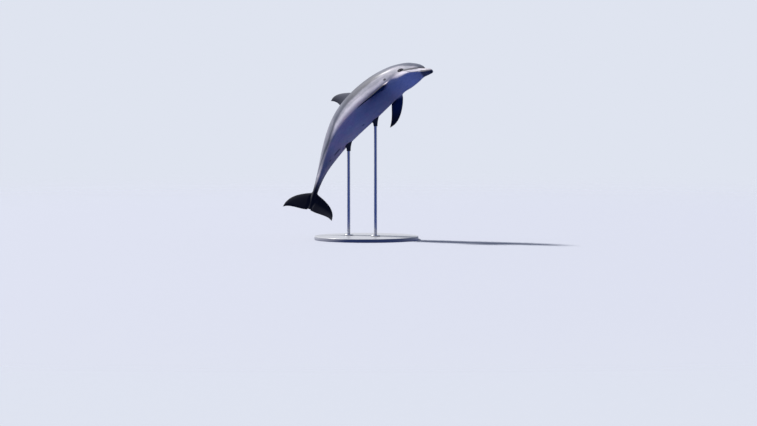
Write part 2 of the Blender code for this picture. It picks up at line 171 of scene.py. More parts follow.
# Fins: leading and trailing edges as cubic Beziers from root to tip, in percent of the length, and the
# greatest half thickness at the root. A flipper's points are parts of its length along and across its span.
DORSAL_FIN = {
    "leading": ((38.2, 6.4), (43.2, 10.4), (50.0, 20.0), (54.7, 18.4)),
    "trailing": ((52.8, 6.0), (50.9, 9.5), (50.9, 13.6), (54.7, 18.4)),
    "thick": 1.05,
}
FLUKE = {
    "leading": ((90.6, 0.0), (92.4, 4.6), (94.8, 11.9), (101.8, 12.1)),
    "trailing": ((99.1, 0.0), (101.0, 2.6), (99.1, 9.3), (101.8, 12.1)),
    "thick": 0.72,
}
FLIPPER = {
    "leading": ((0.30, -0.20), (0.89, -0.15), (1.05, 0.24)),
    "trailing": ((0.25, 0.33), (0.64, 0.11), (1.05, 0.24)),
    "thick": 0.75,
}
FLIPPER_LENGTH = 17.6
FLIPPER_FRONT = (22.0, 5.2, -3.2)
FLIPPER_REAR = (27.6, 5.6, -4.2)
# A flipper's span starts this part of its length behind its front point.
FLIPPER_SETBACK = 0.05
# How each flipper is held: degrees swept back from straight out, lowered, and twisted about its span.
FLIPPER_HELD = {"left": (47, 58, 43), "right": (62, 34, 4)}
# Half thickness that a fin has left at its tip, the power by which it thins out from root to tip, and the
# power by which its sections run out to their trailing edge.
FIN_TIP = 1.2 * MM
FIN_TAPER = 0.75
FIN_RUN_OUT = 0.85
# The greatest value of the section's curve, root(chord) times (1 - chord) to the FIN_RUN_OUT.
SECTION_PEAK = 0.4107
# A fin's last ring, as a part of its span, and the power by which its rings gather towards it.
LAST_RING = 0.996
TIP_GATHER = 1.35
# The fillet round a fin's root: its rings, and the pull of its curves at each end, as a part of its width.
FILLET_RINGS = 9
FILLET_PULL = 0.5

# Where each fin grows: first and last station, lowest and highest angle of the left or the upper one in
# degrees, the part of its span at which the fillet ends, and how many rings it has.
DORSAL_ROOT = (38.8, 53.7, 79, 101, 0.24, 32)
FLUKE_ROOT = (90.0, 98.8, -40, 40, 0.18, 28)
FLIPPER_ROOT = (21.2, 28.6, -46, -22, 0.20, 30)
# Flippers are kept clear of the body, rounded over this distance where they come near it.
FLIPPER_HUGS = 3 * MM

# The lids grow from a patch that reaches this many stations and degrees from the eye's middle.
LID_REACH = (1.4, 14)
LID_RINGS = 22
# How softly the lids run into the head, how far the dome drops beyond its own radius, and the height,
# spacing, distance and spread of the folds round the lids.
LID_SOFTNESS = 2.4 * MM
LID_DROP = 4 * MM
LID_FOLD = 0.45 * MM
LID_FOLD_SPACING = 2.6 * MM
LID_FOLD_AWAY = 6 * MM
LID_FOLD_SPREAD = 5 * MM
# The rim's turn inwards: rows of (part of the lid's thickness and metres over the eyeball, and metres in
# towards the middle of the opening).
LID_TURN = ((0.65, 0.0, 0.4 * MM), (0.0, 0.3 * MM, 0.25 * MM))
# The closed pocket behind the lids: how far off the eyeball it runs, and to which part of a half turn.
POCKET_GAP = 0.25 * MM
POCKET_END = 0.97
# The eyeball: how much it turns forward, its rings and columns, the power by which the rings gather in
# front, the part of a half turn at which they end, and the height and spread of the cornea.
EYE_TURN = 0.10
EYE_GRID = (40, 64)
EYE_GATHER = 1.3
EYE_BACK = 0.985
CORNEA_PROUD = 0.7 * MM
CORNEA_SPREAD = 0.42

# The blowhole: its station, the reach of its patch in stations and degrees, rings, fullness of its lips and
# depth of its walls, and the crescent's radius, half width and half its angle in degrees.
BLOWHOLE = (13.2, 1.25, 13, 12, 1.0 * MM, 14 * MM)
CRESCENT = (18 * MM, 1.4 * MM, 72)
# The slits along the belly: as the blowhole's row, and then their half length and half width. They are the
# navel, the genital slit and the anal slit.
BELLY_SLITS = (
    (46.0, 0.9, 6, 6, 0.6 * MM, 3 * MM, 9 * MM, 1.0 * MM),
    (66.2, 2.7, 10, 8, 1.2 * MM, 7 * MM, 52 * MM, 1.0 * MM),
    (72.3, 1.1, 10, 6, 0.8 * MM, 5 * MM, 14 * MM, 0.9 * MM),
)
# The walls of an opening: rows of (part of its depth, part of the way to its heart).
WALLS = ((0.12, 0.02), (0.45, 0.25), (1.0, 0.65))
# The full lips of an opening: where they are between its patch and its rim, and how wide they are.
OPENING_LIP = (0.88, 0.16)

# ---------------------------------------------------------------- how finely the skin is drawn

COLUMNS = 160
HALF = COLUMNS // 2
# Distance between rings: (station in percent, millimetres).
RING_SPACING = (
    (0, 0.6), (0.6, 1.5), (2.5, 2.6), (4.0, 2.2), (5.0, 1.5), (6.5, 2.2), (9, 3.2), (17, 3.6), (22, 6.5),
    (32, 8.5), (60, 9.5), (84, 8.0), (92, 6.0), (98, 4.0), (99.5, 2.0),
)
# How far columns gather at the mouth line: (station, part of their even spacing that is taken away).
GATHER = ((0, 0.0), (3, 0.15), (6, 0.45), (9, 0.70), (11.8, 0.78), (13.5, 0.62), (19, 0.0))
# Behind the mouth the line that parts upper from lower columns goes on along the flank: (station, degrees).
FLANK_LINE = ((12, -17), (40, -13), (86, 0), (100, 0))


# ---------------------------------------------------------------- curves

def spline(x, table, column, power=1.0):
    """Natural cubic spline through a table's column, against a power of the station."""
    table = np.asarray(table, float)
    knots, values = table[:, 0] ** power, table[:, column]
    gaps = np.diff(knots)
    count = len(knots)
    matrix, right = np.eye(count), np.zeros(count)
    for i in range(1, count - 1):
        matrix[i, i - 1:i + 2] = gaps[i - 1], 2 * (gaps[i - 1] + gaps[i]), gaps[i]
        right[i] = 6 * ((values[i + 1] - values[i]) / gaps[i] - (values[i] - values[i - 1]) / gaps[i - 1])
    bends = np.linalg.solve(matrix, right)
    t = np.clip(x, table[0, 0], table[-1, 0]) ** power
    i = np.clip(np.searchsorted(knots, t, side="right") - 1, 0, count - 2)
    before, after, gap = t - knots[i], knots[i + 1] - t, gaps[i]
    cubic = (bends[i] * after**3 + bends[i + 1] * before**3) / (6 * gap)
    line = (values[i] / gap - bends[i] * gap / 6) * after
    return cubic + line + (values[i + 1] / gap - bends[i + 1] * gap / 6) * before


def through(x, table):
    """Straight lines through a table of (place, value)."""
    return np.interp(x, *np.transpose(table))


def bezier(v, *points):
    """Bezier curve of any degree at the parameters v: the sum of its points times their Bernstein weights."""
    points = np.asarray(points, float)
    degree = len(points) - 1
    v = np.asarray(v, float)[:, None]
    weights = (math.comb(degree, k) * (1 - v) ** (degree - k) * v**k for k in range(degree + 1))
    return sum(weight * point for weight, point in zip(weights, points))


def eased(x, start, end):
    """0 before start, 1 after end, smooth between."""
    t = np.clip((x - start) / (end - start), 0, 1)
    return t * t * (3 - 2 * t)


def bell(x, width):
    """1 at x = 0, falling as exp(-(x / width) squared)."""
    return np.exp(-(x / width) ** 2)


def turns(count):
    """Angles of so many even steps round a circle."""
    return 2 * math.pi * np.arange(count) / count


def unit(vectors):
    """Vectors divided by their lengths."""
    return vectors / np.maximum(np.linalg.norm(vectors, axis=-1, keepdims=True), 1e-12)


# ---------------------------------------------------------------- the bend

def spine():
    """Stations in metres, the spine's points, and the headward, back and left directions there."""
    s = np.linspace(0, SPINE_REACH * TOTAL_LENGTH, SPINE_POINTS)
    pitch, yaw, roll = (np.radians(spline(s / PERCENT, POSE, k))[:, None] for k in (1, 2, 3))
    x, y, z = np.eye(3)
    level = np.cos(pitch) * x + np.sin(pitch) * z
    upright = np.cos(pitch) * z - np.sin(pitch) * x
    forward = np.cos(yaw) * level - np.sin(yaw) * y
    side = -np.cos(yaw) * y - np.sin(yaw) * level
    back = np.cos(roll) * upright - np.sin(roll) * side
    left = -np.cos(roll) * side - np.sin(roll) * upright
    step = np.diff(s)[:, None]
    path = np.vstack([np.zeros(3), -np.cumsum((forward[1:] + forward[:-1]) / 2 * step, axis=0)])
    return s, path + SNOUT_TIP, forward, back, left


SPINE = spine()


def bend(points):
    """Carries straight points (s, y, z) in metres to the leap: spine point plus y left plus z back."""
    s, path, forward, back, left = SPINE
    flat = np.asarray(points, float).reshape(-1, 3)
    inside = np.clip(flat[:, 0], s[0], s[-1])
    where, ahead, up, aside = (
        np.stack([np.interp(inside, s, table[:, k]) for k in range(3)], axis=1)
        for table in (path, forward, back, left)
    )
    beyond = (flat[:, 0] - inside)[:, None]
    bent = where - ahead * beyond + aside * flat[:, 1:2] + up * flat[:, 2:3]
    return bent.reshape(np.shape(points))


# ---------------------------------------------------------------- the body's sections

def super_ellipse(angle, width, top, bottom, power_below):
    """Radius at an angle of a rounded section with its own height above and depth below its centre. The
    greater power_below is, the squarer the section is below its centre."""
    below = np.sin(angle) < 0
    height, power = np.where(below, bottom, top), np.where(below, power_below, SECTION_POWER)
    across = np.abs(np.cos(angle) / width) ** power
    upwards = np.abs(np.sin(angle) / height) ** power
    return (across + upwards) ** (-1 / power)


def outline(station, angle):
    """Radius of the body in metres, height of its middle, and how far the brow stands out past the melon.

    Behind the eye the section is one super-ellipse. In front, the brow and jaws are one and the melon
    another, and the radius is the greater of the two, softened where they meet at the crease.
    """
    top, bottom, width, middle = (spline(station, PROFILE, k, power=0.5) for k in (1, 2, 3, 4))
    in_jaws = eased(station, *JAW_SQUARE_FROM) * (1 - eased(station, *JAW_SQUARE_TO))
    square = SECTION_POWER + JAW_SQUARENESS * in_jaws
    plain = super_ellipse(angle, width, top - middle, middle - bottom, square)
    x = np.clip((station - MELON_FRONT) / (MELON_BACK - MELON_FRONT), 0, 1)
    tall = (MELON_HEIGHT[0] + (MELON_HEIGHT[1] - MELON_HEIGHT[0]) * x) * np.sqrt(1 - (1 - x) ** 2)
    wide = (MELON_WIDTH[0] + (MELON_WIDTH[1] - MELON_WIDTH[0]) * x) * np.sqrt(1 - (1 - x) ** 3)
    wide = wide + MELON_LEAST
    melon = super_ellipse(angle, wide, tall - middle, MELON_DEPTH * wide, square)
    melon = melon * np.minimum(x / MELON_RISE, 1) * (1 - eased(station, *MELON_TAIL))
    soft = CREASE_SOFTNESS * eased(station, *CREASE_SOFT_OVER)
    soft = soft + MELON_SOFTNESS * eased(station, *MELON_SOFT_OVER)
    soft = soft * (1 - eased(station, MELON_BACK, MELON_TAIL[0]))
    radius = (plain + melon + np.sqrt((plain - melon) ** 2 + soft**2)) / 2
    return radius * PERCENT, middle * PERCENT, (plain - melon) * PERCENT


def surface(station, angle):
    """Straight points of the body at stations in percent and angles from the left side upwards."""
    station, angle = np.broadcast_arrays(station, angle)
    radius, middle, _ = outline(station, angle)
    return np.stack([station * PERCENT, radius * np.cos(angle), radius * np.sin(angle) + middle], axis=-1)


def outward(station, angle):
    """Unit directions square to the straight body: the cross product of its slopes round and along."""
    here = surface(station, angle)
    along = surface(station + 0.05, angle) - here
    around = surface(station, angle + 0.01) - here
    return unit(np.cross(around, along))


def mouth_angle(stations):
    """Angle on the left side where each section passes the mouth line."""
    angles = np.radians(np.linspace(-80, 25, 421))
    heights = surface(np.maximum(stations, 0.02)[:, None], angles)[:, :, 2]
    levels = spline(np.minimum(stations, MOUTH_CORNER), MOUTH, 1) * PERCENT
    return np.array([np.interp(level, row, angles) for level, row in zip(levels, heights)])


# ---------------------------------------------------------------- the grid over the body

def ring_stations():
    """Stations of the rings, as far apart as RING_SPACING says: equal steps of the sum of 1 / spacing."""
    fine = np.linspace(0, BODY_END, 6001)
    density = PERCENT / MM / through(fine, RING_SPACING)
    count = np.concatenate([[0], np.cumsum((density[1:] + density[:-1]) / 2 * np.diff(fine))])
    return np.interp(np.linspace(0, count[-1], round(count[-1]) + 1), count, fine)


def column_angles(stations):
    """Angles of the columns in each ring. Column 0 follows the mouth line on the left and column HALF on the
    right, and on each arc between them the place is even less GATHER times a sine, so they gather there."""
    flank = np.radians(through(stations, FLANK_LINE))
    line = mouth_angle(stations)
    line = (line + (flank - line) * eased(stations, MOUTH_CORNER, 20))[:, None]
    place = np.arange(HALF) / HALF
    place = place - through(stations, GATHER)[:, None] * np.sin(2 * math.pi * place) / (2 * math.pi)
    upper = line + (math.pi - 2 * line) * place
    lower = math.pi - line + (math.pi + 2 * line) * place
    return np.concatenate([upper, lower], axis=1), line


def lip_distance(angle, line, radius):
    """Distance along the ring from the mouth line, in metres: above it positive, below it negative."""
    left, right = angle - line, math.pi - line - angle
    above = np.minimum(left, right)
    below = np.maximum(right, left - 2 * math.pi)
    return np.where(np.arange(COLUMNS) <= HALF, above, below) * radius


def body_grid(size):
    """Straight points of the grid, with its stations, angles and lip distances.

    The radius is the outline's, less a groove along the mouth, a fold at its corner and a crease round the
    melon, plus a full lip on each side of the mouth. Below the mouth line the stations are stretched forward,
    so that the lower jaw leads.
    """
    stations = ring_stations()
    angle, line = column_angles(stations)
    station = np.broadcast_to(stations[:, None], angle.shape)
    radius, middle, brow = outline(station, angle)
    lip = lip_distance(angle, line, radius)
    mouth = 1 - eased(station, *GROOVE_FADE)
    small = np.minimum(1, radius / GROOVE_THIN)
    groove = size.lip_depth * bell(lip, size.lip_width) * small * mouth
    full = bell(np.abs(lip) - LIP_AWAY * size.lip_width, LIP_WIDE * size.lip_width)
    full = size.lip_fullness * full * small * mouth
    fold = FOLD_DEPTH * bell((station - MOUTH_CORNER - FOLD_BEHIND) * PERCENT, FOLD_LONG)
    fold = fold * bell(lip + FOLD_BELOW, FOLD_TALL)
    crease = size.crease_depth * bell(brow, CREASE_WIDE) * eased(station, *CREASE_FROM)
    crease = crease * (1 - eased(station, *CREASE_TO))
    radius = radius - groove + full - fold - crease
    lead = JAW_LEAD * (1 - station / MOUTH_CORNER) * (station < MOUTH_CORNER) * (lip < -1e-6)
    points = np.stack(
        [(station - lead) * PERCENT, radius * np.cos(angle), radius * np.sin(angle) + middle], axis=-1
    )
    return points, station, angle, lip


# ---------------------------------------------------------------- patches in the grid

def patch_edge(first, last, left, right):
    """Row and column of each grid point round a patch, from the middle of its front edge, rising columns
    first."""
    middle = (left + right) // 2
    long, wide = last - first, right - left
    rows = [np.full(right - middle, first), np.arange(first, last), np.full(wide, last),
            np.arange(last, first, -1), np.full(middle - left, first)]
    columns = [np.arange(middle, right), np.full(long, right), np.arange(right, left, -1),
               np.full(long, left), np.arange(left, middle)]
    return np.concatenate(rows), np.concatenate(columns) % COLUMNS


class SkinMesh:
    """The skin as it is gathered: the grid's stations and angles, the points in the leap and at rest, their
    marks, and the faces."""

    def __init__(self, rest, station, angle, lip):
        rows = len(rest)
        blank = np.zeros(rows * COLUMNS)
        self.station, self.angle = station, angle
        self.world, self.rest = [bend(rest).reshape(-1, 3)], [rest.reshape(-1, 3)]
        self.marks = {"lift": [np.sin(angle).ravel()], "lip": [lip.ravel()], "blade": [blank], "lid": [blank]}
        self.numbers = np.arange(rows * COLUMNS).reshape(rows, COLUMNS)
        self.count = rows * COLUMNS
        self.open = np.zeros((rows - 1, COLUMNS), bool)
        self.faces = []

    def cut(self, start, end, low, high):
        """Leaves a patch of the grid open, between two stations and between two angles in degrees, with even
        counts of cells. Returns the row and column, the station and the angle of each point round it."""
        first, last = (int(np.abs(self.station[:, 0] - s).argmin()) for s in (start, end))
        row = self.angle[(first + last) // 2]
        row = np.concatenate([row - 2 * math.pi, row, row + 2 * math.pi])
        left, right = (int(np.abs(row - math.radians(a)).argmin()) - COLUMNS for a in (low, high))
        last += (last - first) % 2
        right += (right - left) % 2
        self.open[first:last, np.arange(left, right) % COLUMNS] = True
        edge = patch_edge(first, last, left, right)
        return edge, self.station[edge], np.unwrap(self.angle[edge])

    def grow(self, edge, world, rest, zip_from=None, blade=0.0, lid=0.0):
        """Rings that grow from a patch's edge. The last one is closed by a fan, or by joining the points on
        both sides of the point numbered zip_from, up to the one across from it."""
        rings, around = world.shape[:2]
        flat = self.numbers[edge]
        added = self.count + np.arange(rings * around).reshape(rings, around)
        numbers = np.vstack([flat, added])
        values = {name: np.concatenate(self.marks[name])[flat] for name in ("lift", "lip")}
        values["blade"], values["lid"] = blade, lid
        self.world.append(world.reshape(-1, 3))
        self.rest.append(rest.reshape(-1, 3))
        for name, value in values.items():
            self.marks[name].append(np.broadcast_to(value, (rings, around)).ravel())
        self.count += rings * around
        self.faces.append(band(numbers))
        last = numbers[-1]
        if zip_from is None:
            self.pole(last, world[-1].mean(axis=0), rest[-1].mean(axis=0), values)
        else:
            steps = np.arange(around // 2 + 1)
            up, down = last[(zip_from + steps) % around], last[(zip_from - steps) % around]
            self.faces.append(np.stack([up[:-1], up[1:], down[1:], down[:-1]], axis=1))

    def pole(self, ring, world, rest, values=None, turned=False):
        """A fan from a ring to one point, whose marks are the last of the values or else the ring's means."""
        if turned:
            ring = ring[::-1]
        self.world.append(world[None])
        self.rest.append(rest[None])
        for name in self.marks:
            value = values[name] if values else np.concatenate(self.marks[name])[ring].mean()
            self.marks[name].append(np.atleast_1d(np.asarray(value, float).ravel()[-1]))
        self.faces.append(fan(ring, self.count))
        self.count += 1

    def close_body(self):
        """Adds the grid's own faces, where it isn't open, and the ends at the snout and the tail."""
        cells = band_cells(self.numbers)
        self.faces.append(cells[~self.open].reshape(-1, 4))
        for ring, turned, lowest in ((self.numbers[0], True, HALF + 1), (self.numbers[-1], False, 0)):
            world, rest = (table[0][ring[lowest:]].mean(axis=0) for table in (self.world, self.rest))
            self.pole(ring, world, rest, turned=turned)

    def to_mesh(self, name):
        """One mesh with the vertices that its faces use. A face that names a corner twice is a triangle."""
        world, rest = np.concatenate(self.world), np.concatenate(self.rest)
        faces = np.concatenate(self.faces)
        used, faces = np.unique(faces, return_inverse=True)
        mesh = closed_mesh(name, world[used], faces.reshape(-1, 4))
        put_mark(mesh, "rest", rest[used])
        for mark, values in self.marks.items():
            put_mark(mesh, mark, np.concatenate(values)[used])
        return mesh


def band_cells(numbers):
    """Corners of the cells between rings of vertex numbers: (rings - 1, around, 4)."""
    here, ahead = numbers[:-1], numbers[1:]
    return np.stack([here, np.roll(here, -1, axis=1), np.roll(ahead, -1, axis=1), ahead], axis=2)


def band(numbers):
    """Faces of the cells between rings of vertex numbers, one after another."""
    return band_cells(numbers).reshape(-1, 4)


def fan(rim, tip):
    """Faces that join a closed rim of vertex numbers to one vertex, which each names twice."""
    tips = np.full(len(rim), tip)
    return np.stack([rim, np.roll(rim, -1), tips, tips], axis=1)


def mesh_of(name, points, faces):
    """A smooth mesh from points and faces of four corners. A repeated corner is dropped, so those faces are
    triangles."""
    mesh = bpy.data.meshes.new(name)
    mesh.from_pydata(points.tolist(), [], [list(dict.fromkeys(face)) for face in faces.tolist()])
    mesh.shade_smooth()
    return mesh


def closed_mesh(name, points, faces):
    """The mesh of a closed surface with its faces pointing outwards. They are turned round where the signed
    volume inside them, the sum of the tetrahedra to the points' mean, is below 0."""
    a, b, c, d = ((points - points.mean(axis=0))[faces[:, k]] for k in range(4))
    if (np.cross(a, b) * c + np.cross(a, c) * d).sum() < 0:
        faces = faces[:, ::-1]
    return mesh_of(name, points, faces)


def capped_mesh(name, rings, tips=None):
    """A closed mesh of rings of points, with a fan at each end to its own tip or to the end ring's mean."""
    numbers = np.arange(rings.shape[0] * rings.shape[1]).reshape(rings.shape[:2])
    tips = rings[[0, -1]].mean(axis=1) if tips is None else tips
    faces = [band(numbers), fan(numbers[0][::-1], numbers.size), fan(numbers[-1], numbers.size + 1)]
    return closed_mesh(name, np.vstack([rings.reshape(-1, 3), tips]), np.concatenate(faces))


def put_mark(mesh, name, values):
    """Stores one number or one vector at each point of the mesh."""
    kind = "FLOAT_VECTOR" if values.ndim == 2 else "FLOAT"
    field = "vector" if values.ndim == 2 else "value"
    mesh.attributes.new(name, kind, "POINT").data.foreach_set(field, values.astype(np.float32).ravel())


def add_piece(name, mesh, material, replaces):
    """Puts a finished mesh in the scene as a piece of the object, in place of the nodes it replaces."""
    piece = bpy.data.objects.new(name, mesh)
    bpy.context.scene.collection.objects.link(piece)
    mesh.materials.append(material)
    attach(piece, "root")
    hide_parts(*replaces)


# ---------------------------------------------------------------- fins

def fin_ring(around, leading, trailing, half_thick, normal):
    """One closed loop of a fin at each span position.

    Round the loop the chord position is (1 - cos) / 2, from the leading edge to the trailing edge and back,
    and the depth there is root(chord) times (1 - chord) to the FIN_RUN_OUT, over its greatest value.
    """
    turn = turns(around)
    chord = 0.5 - 0.5 * np.cos(turn)
    depth = np.sqrt(chord) * np.maximum(1 - chord, 0) ** FIN_RUN_OUT
    depth = depth / SECTION_PEAK * np.sign(np.round(np.sin(turn), 9))
    edge = leading[:, None] + (trailing - leading)[:, None] * chord[:, None]
    return edge + (half_thick * depth)[:, :, None] * np.asarray(normal)


def taper(v, thick):
    """Half thickness in metres along a fin: the root's times (1 - v) to the FIN_TAPER, plus the tip's."""
    return (thick * PERCENT * (1 - v) ** FIN_TAPER + FIN_TIP)[:, None]


def level_fin(v, around, fin, span, normal):
    """A fin that lies in a plane with the body's axis: its edges are Beziers of (station, distance), and the
    distance is measured along span."""
    plane = np.array([(1, 0, 0), span])
    edges = (bezier(v, *fin[edge]) * PERCENT @ plane for edge in ("leading", "trailing"))
    return fin_ring(around, *edges, taper(v, fin["thick"]), normal)


def flipper(v, around, side):
    """A flipper, whose edges leave the body at two points and turn into its span: Beziers of (distance along
    the span, distance across it) from the shoulder. side is 1 on the left and -1 on the right."""
    back, down, twist = np.radians(FLIPPER_HELD["left" if side > 0 else "right"])
    outside = np.array([0, math.cos(down), -math.sin(down)])
    tailward = np.array([1.0, 0, 0])
    span = math.cos(back) * outside + math.sin(back) * tailward
    chord = math.cos(back) * tailward - math.sin(back) * outside
    chord = math.cos(twist) * chord + math.sin(twist) * np.cross(span, chord)
    upper = -np.cross(span, chord)
    length = FLIPPER_LENGTH * PERCENT
    front, rear = (np.array(p) * PERCENT for p in (FLIPPER_FRONT, FLIPPER_REAR))
    shoulder = front + FLIPPER_SETBACK * length * tailward
    edges = []
    for root, edge in ((front, "leading"), (rear, "trailing")):
        points = [shoulder + length * (a * span + b * chord) for a, b in FLIPPER[edge]]
        edges.append(bezier(v, root, *points))
    mirror = np.array([1, side, 1])
    return fin_ring(around, *edges, taper(v, FLIPPER["thick"]), upper * side) * mirror


def clear_of_body(points, soft):
    """Moves points out of the body along its radius: the height over the skin, h, becomes the greater of h
    and 0, rounded over the distance soft."""
    station = np.clip(points[..., 0] / PERCENT, 1, BODY_END)
    middle = outline(station, 0 * station)[1]
    y, z = points[..., 1], points[..., 2] - middle
    angle, radius = np.arctan2(z, y), np.hypot(y, z)
    skin = outline(station, angle)[0]
    over = radius - skin
    scale = (skin + (over + np.sqrt(over**2 + soft**2)) / 2) / radius
    return np.stack([points[..., 0], y * scale, z * scale + middle], axis=-1)


def grow_fin(skin, place, shape, side=1, hugs=0.0):
    """Grows a fin from a patch: a fillet, in which each point runs on a cubic Bezier that leaves along the
    skin and arrives along the fin, and then the fin's own rings up to its tip.

    place is where it grows, as given for the left side, and side is -1 on the right. A fin that hugs the body
    is kept clear of it, with its nearest points rounded over that distance.
    """
    start, end, low, high, root, rings = place
    edge, station, angle = skin.cut(start, end, *sorted(90 - side * (90 - a) for a in (low, high)))
    foot = skin.rest[0].reshape(-1, COLUMNS, 3)[edge]
    out = outward(station, angle)
    around = len(station)
    v = root + (LAST_RING - root) * (1 - (1 - np.linspace(0, 1, rings)) ** TIP_GATHER)
    blade = shape(v, around)
    ahead = unit(shape(np.array([root + 0.01]), around)[0] - blade[0])
    across = blade[0] - foot
    reach = np.linalg.norm(across, axis=1, keepdims=True)
    flat = unit(across - out * (across * out).sum(axis=1, keepdims=True))
    w = np.linspace(0, 1, FILLET_RINGS + 2)[1:-1]
    pulls = foot + FILLET_PULL * reach * flat, blade[0] - FILLET_PULL * reach * ahead
    fillet = bezier(w, *(points.ravel() for points in (foot, *pulls, blade[0])))
    rest = np.concatenate([fillet.reshape(FILLET_RINGS, around, 3), blade])
    grown = np.concatenate([w, 1 + v - root])[:, None]
    if hugs:
        rest = clear_of_body(rest, hugs * np.minimum(1, 2 * grown))
    skin.grow(edge, bend(rest), rest, zip_from=0, blade=grown)


# ---------------------------------------------------------------- openings in the skin

def opening_frame(station, degrees):
    """A point of the bent skin, the unit directions forward, of rising angle and outward there, and the
    matrix that turns metres in the first two into stations and radians: the inverse of the slopes."""
    angle = math.radians(degrees)
    step, turn = 0.2, 0.02
    here = bend(surface(station, angle))
    along = (bend(surface(station + step, angle)) - here) / step
    around = (bend(surface(station, angle + turn)) - here) / turn
    out = unit(np.cross(around, -along))
    forward = unit(-(along - out * np.dot(along, out)))
    rising = np.cross(out, forward)
    rising = rising * np.sign(np.dot(rising, around))
    slopes = np.array([forward, rising]) @ np.transpose([along, around])
    return here, forward, rising, out, np.linalg.inv(slopes)


def opening_rings(centre, edge_station, edge_angle, rim, rings):
    """Stations and angles of rings that pass from a patch's edge to a rim drawn on the skin, closer together
    towards the rim, and how far along each ring is.

    centre is the middle's station, its angle in degrees and the matrix of opening_frame. rim is given in
    metres forward and towards rising angles from there.
    """
    station, degrees, inverse = centre
    steps = rim @ inverse.T
    turn = np.round((edge_angle.mean() - math.radians(degrees)) / (2 * math.pi)) * 2 * math.pi
    rim_station, rim_angle = station + steps[:, 0], math.radians(degrees) + turn + steps[:, 1]
    w = (1 - (1 - np.linspace(0, 1, rings + 1)[1:]) ** 1.25)[:, None]
    return edge_station + (rim_station - edge_station) * w, edge_angle + (rim_angle - edge_angle) * w, w


def eye_pocket(rim, middle, out, thickness):
    """Rings that follow the lids' rim: its turn in to the eyeball, and a closed pocket round the back of the
    eyeball, a sphere whose rings draw together behind it."""
    margin = unit(rim - middle)
    polar = np.arccos(margin @ out)[None]
    side = unit(margin - out * (margin @ out)[:, None])
    back = np.linspace(0, 1, 10)[1:, None] ** 1.4
    polar = polar + (math.pi * POCKET_END - polar) * back
    pocket = np.cos(polar)[:, :, None] * out + np.sin(polar)[:, :, None] * side
    turned_in = [margin * (EYE_RADIUS + part * thickness + more) - side * over
                 for part, more, over in LID_TURN]
    return middle + np.concatenate([turned_in, pocket * (EYE_RADIUS + POCKET_GAP)])


def grow_eye(skin, degrees, size):
    """Lids round an eyeball, and the closed pocket that it sits in.

    The rim is an almond: half the width times the cosine of the turn, and half the height times its sine,
    less towards the corners. The lids' height over the skin is the greater of 0 and that of a sphere a lid's
    thickness larger than the eyeball, rounded where they meet, with low folds round them, a cosine of the
    distance from the rim.
    """
    here, forward, rising, out, inverse = opening_frame(EYE_STATION, degrees)
    middle = here + out * (EYE_PROUD - EYE_RADIUS)
    long, wide = LID_REACH
    edge, stations, angles = skin.cut(EYE_STATION - long, EYE_STATION + long, degrees - wide, degrees + wide)
    away = bend(surface(stations, angles)) - here
    x, y = away @ forward, away @ rising
    turn = np.arctan2(y / np.ptp(y), x / np.ptp(x))
    almond = np.sin(turn) * (0.72 + 0.28 * np.sin(turn) ** 2)
    rim = np.stack([size.lid_width / 2 * np.cos(turn), size.lid_height / 2 * almond], axis=1)
    s, a, w = opening_rings((EYE_STATION, degrees, inverse), stations, angles, rim, LID_RINGS)
    flat = bend(surface(s, a))
    off = flat - here
    across = np.hypot(off @ forward, off @ rising)
    base = off @ out
    lid = EYE_RADIUS + size.lid_thickness
    dome = np.sqrt(np.maximum(lid**2 - across**2, 0)) + EYE_PROUD - EYE_RADIUS
    dome = dome - LID_DROP * (across > lid)
    rise = (dome - base + np.sqrt((dome - base) ** 2 + LID_SOFTNESS**2)) / 2
    rise = rise * eased(w, 0, 0.35)
    past = np.maximum(across - np.linalg.norm(rim, axis=1), 0)
    folds = LID_FOLD * np.cos(past / LID_FOLD_SPACING * 2 * math.pi)
    folds = folds * bell(past - LID_FOLD_AWAY, LID_FOLD_SPREAD) * eased(w, 0, 0.3)
    lids = flat + out * (rise + folds)[:, :, None]
    pocket = eye_pocket(lids[-1], middle, out, size.lid_thickness)
    near = np.concatenate([w**2, np.ones((len(pocket), 1))])
    rest = np.concatenate([surface(s, a), np.broadcast_to(surface(s[-1], a[-1]), pocket.shape)])
    skin.grow(edge, np.concatenate([lids, pocket]), rest, lid=near)


def grow_opening(skin, place, degrees, long, wide, rings, lip, depth, rim, quarter=False):
    """A slit or hole: skin that passes to a rim with full lips, a bell of the way there, and walls that go in
    and draw together towards the middle between facing points.

    The lips that face each other are on both sides of the loop's first point or, with quarter, of the point a
    quarter of the way round.
    """
    *_, out, inverse = opening_frame(place, degrees)
    edge, stations, angles = skin.cut(place - long, place + long, degrees - wide, degrees + wide)
    s, a, w = opening_rings((place, degrees, inverse), stations, angles, rim(len(stations)), rings)
    rest = surface(s, a)
    full = lip * bell(w - OPENING_LIP[0], OPENING_LIP[1])
    world = bend(rest) + out * full[:, :, None]
    around = len(stations)
    start = around // 4 if quarter else 0
    facing = world[-1][(2 * start - np.arange(around)) % around]
    heart = (world[-1] + facing) / 2
    walls = [world[-1] + (heart - world[-1]) * closer - out * depth * down for down, closer in WALLS]
    deep = np.broadcast_to(rest[-1], (len(walls), *rest[-1].shape))
    near = np.concatenate([w**3, np.ones((len(walls), 1))])
    skin.grow(edge, np.concatenate([world, walls]), np.concatenate([rest, deep]), zip_from=start, lid=near)


def crescent(around, radius, half_width, spread):
    """Rim of a crescent slit with its horns forward: round the loop the place on its middle line goes out to
    one horn and back along the other lip, and the half width falls as the root of 1 - (place) squared."""
    t = np.arange(around) / around
    place = 1 - np.abs(1 - (4 * t) % 2)
    phi = math.radians(spread) * place * np.where(t < 0.5, 1, -1)
    reach = radius + half_width * np.sqrt(1 - place**2) * np.where((t < 0.25) | (t > 0.75), -1, 1)
    return np.stack([0.6 * radius - reach * np.cos(phi), reach * np.sin(phi)], axis=1)


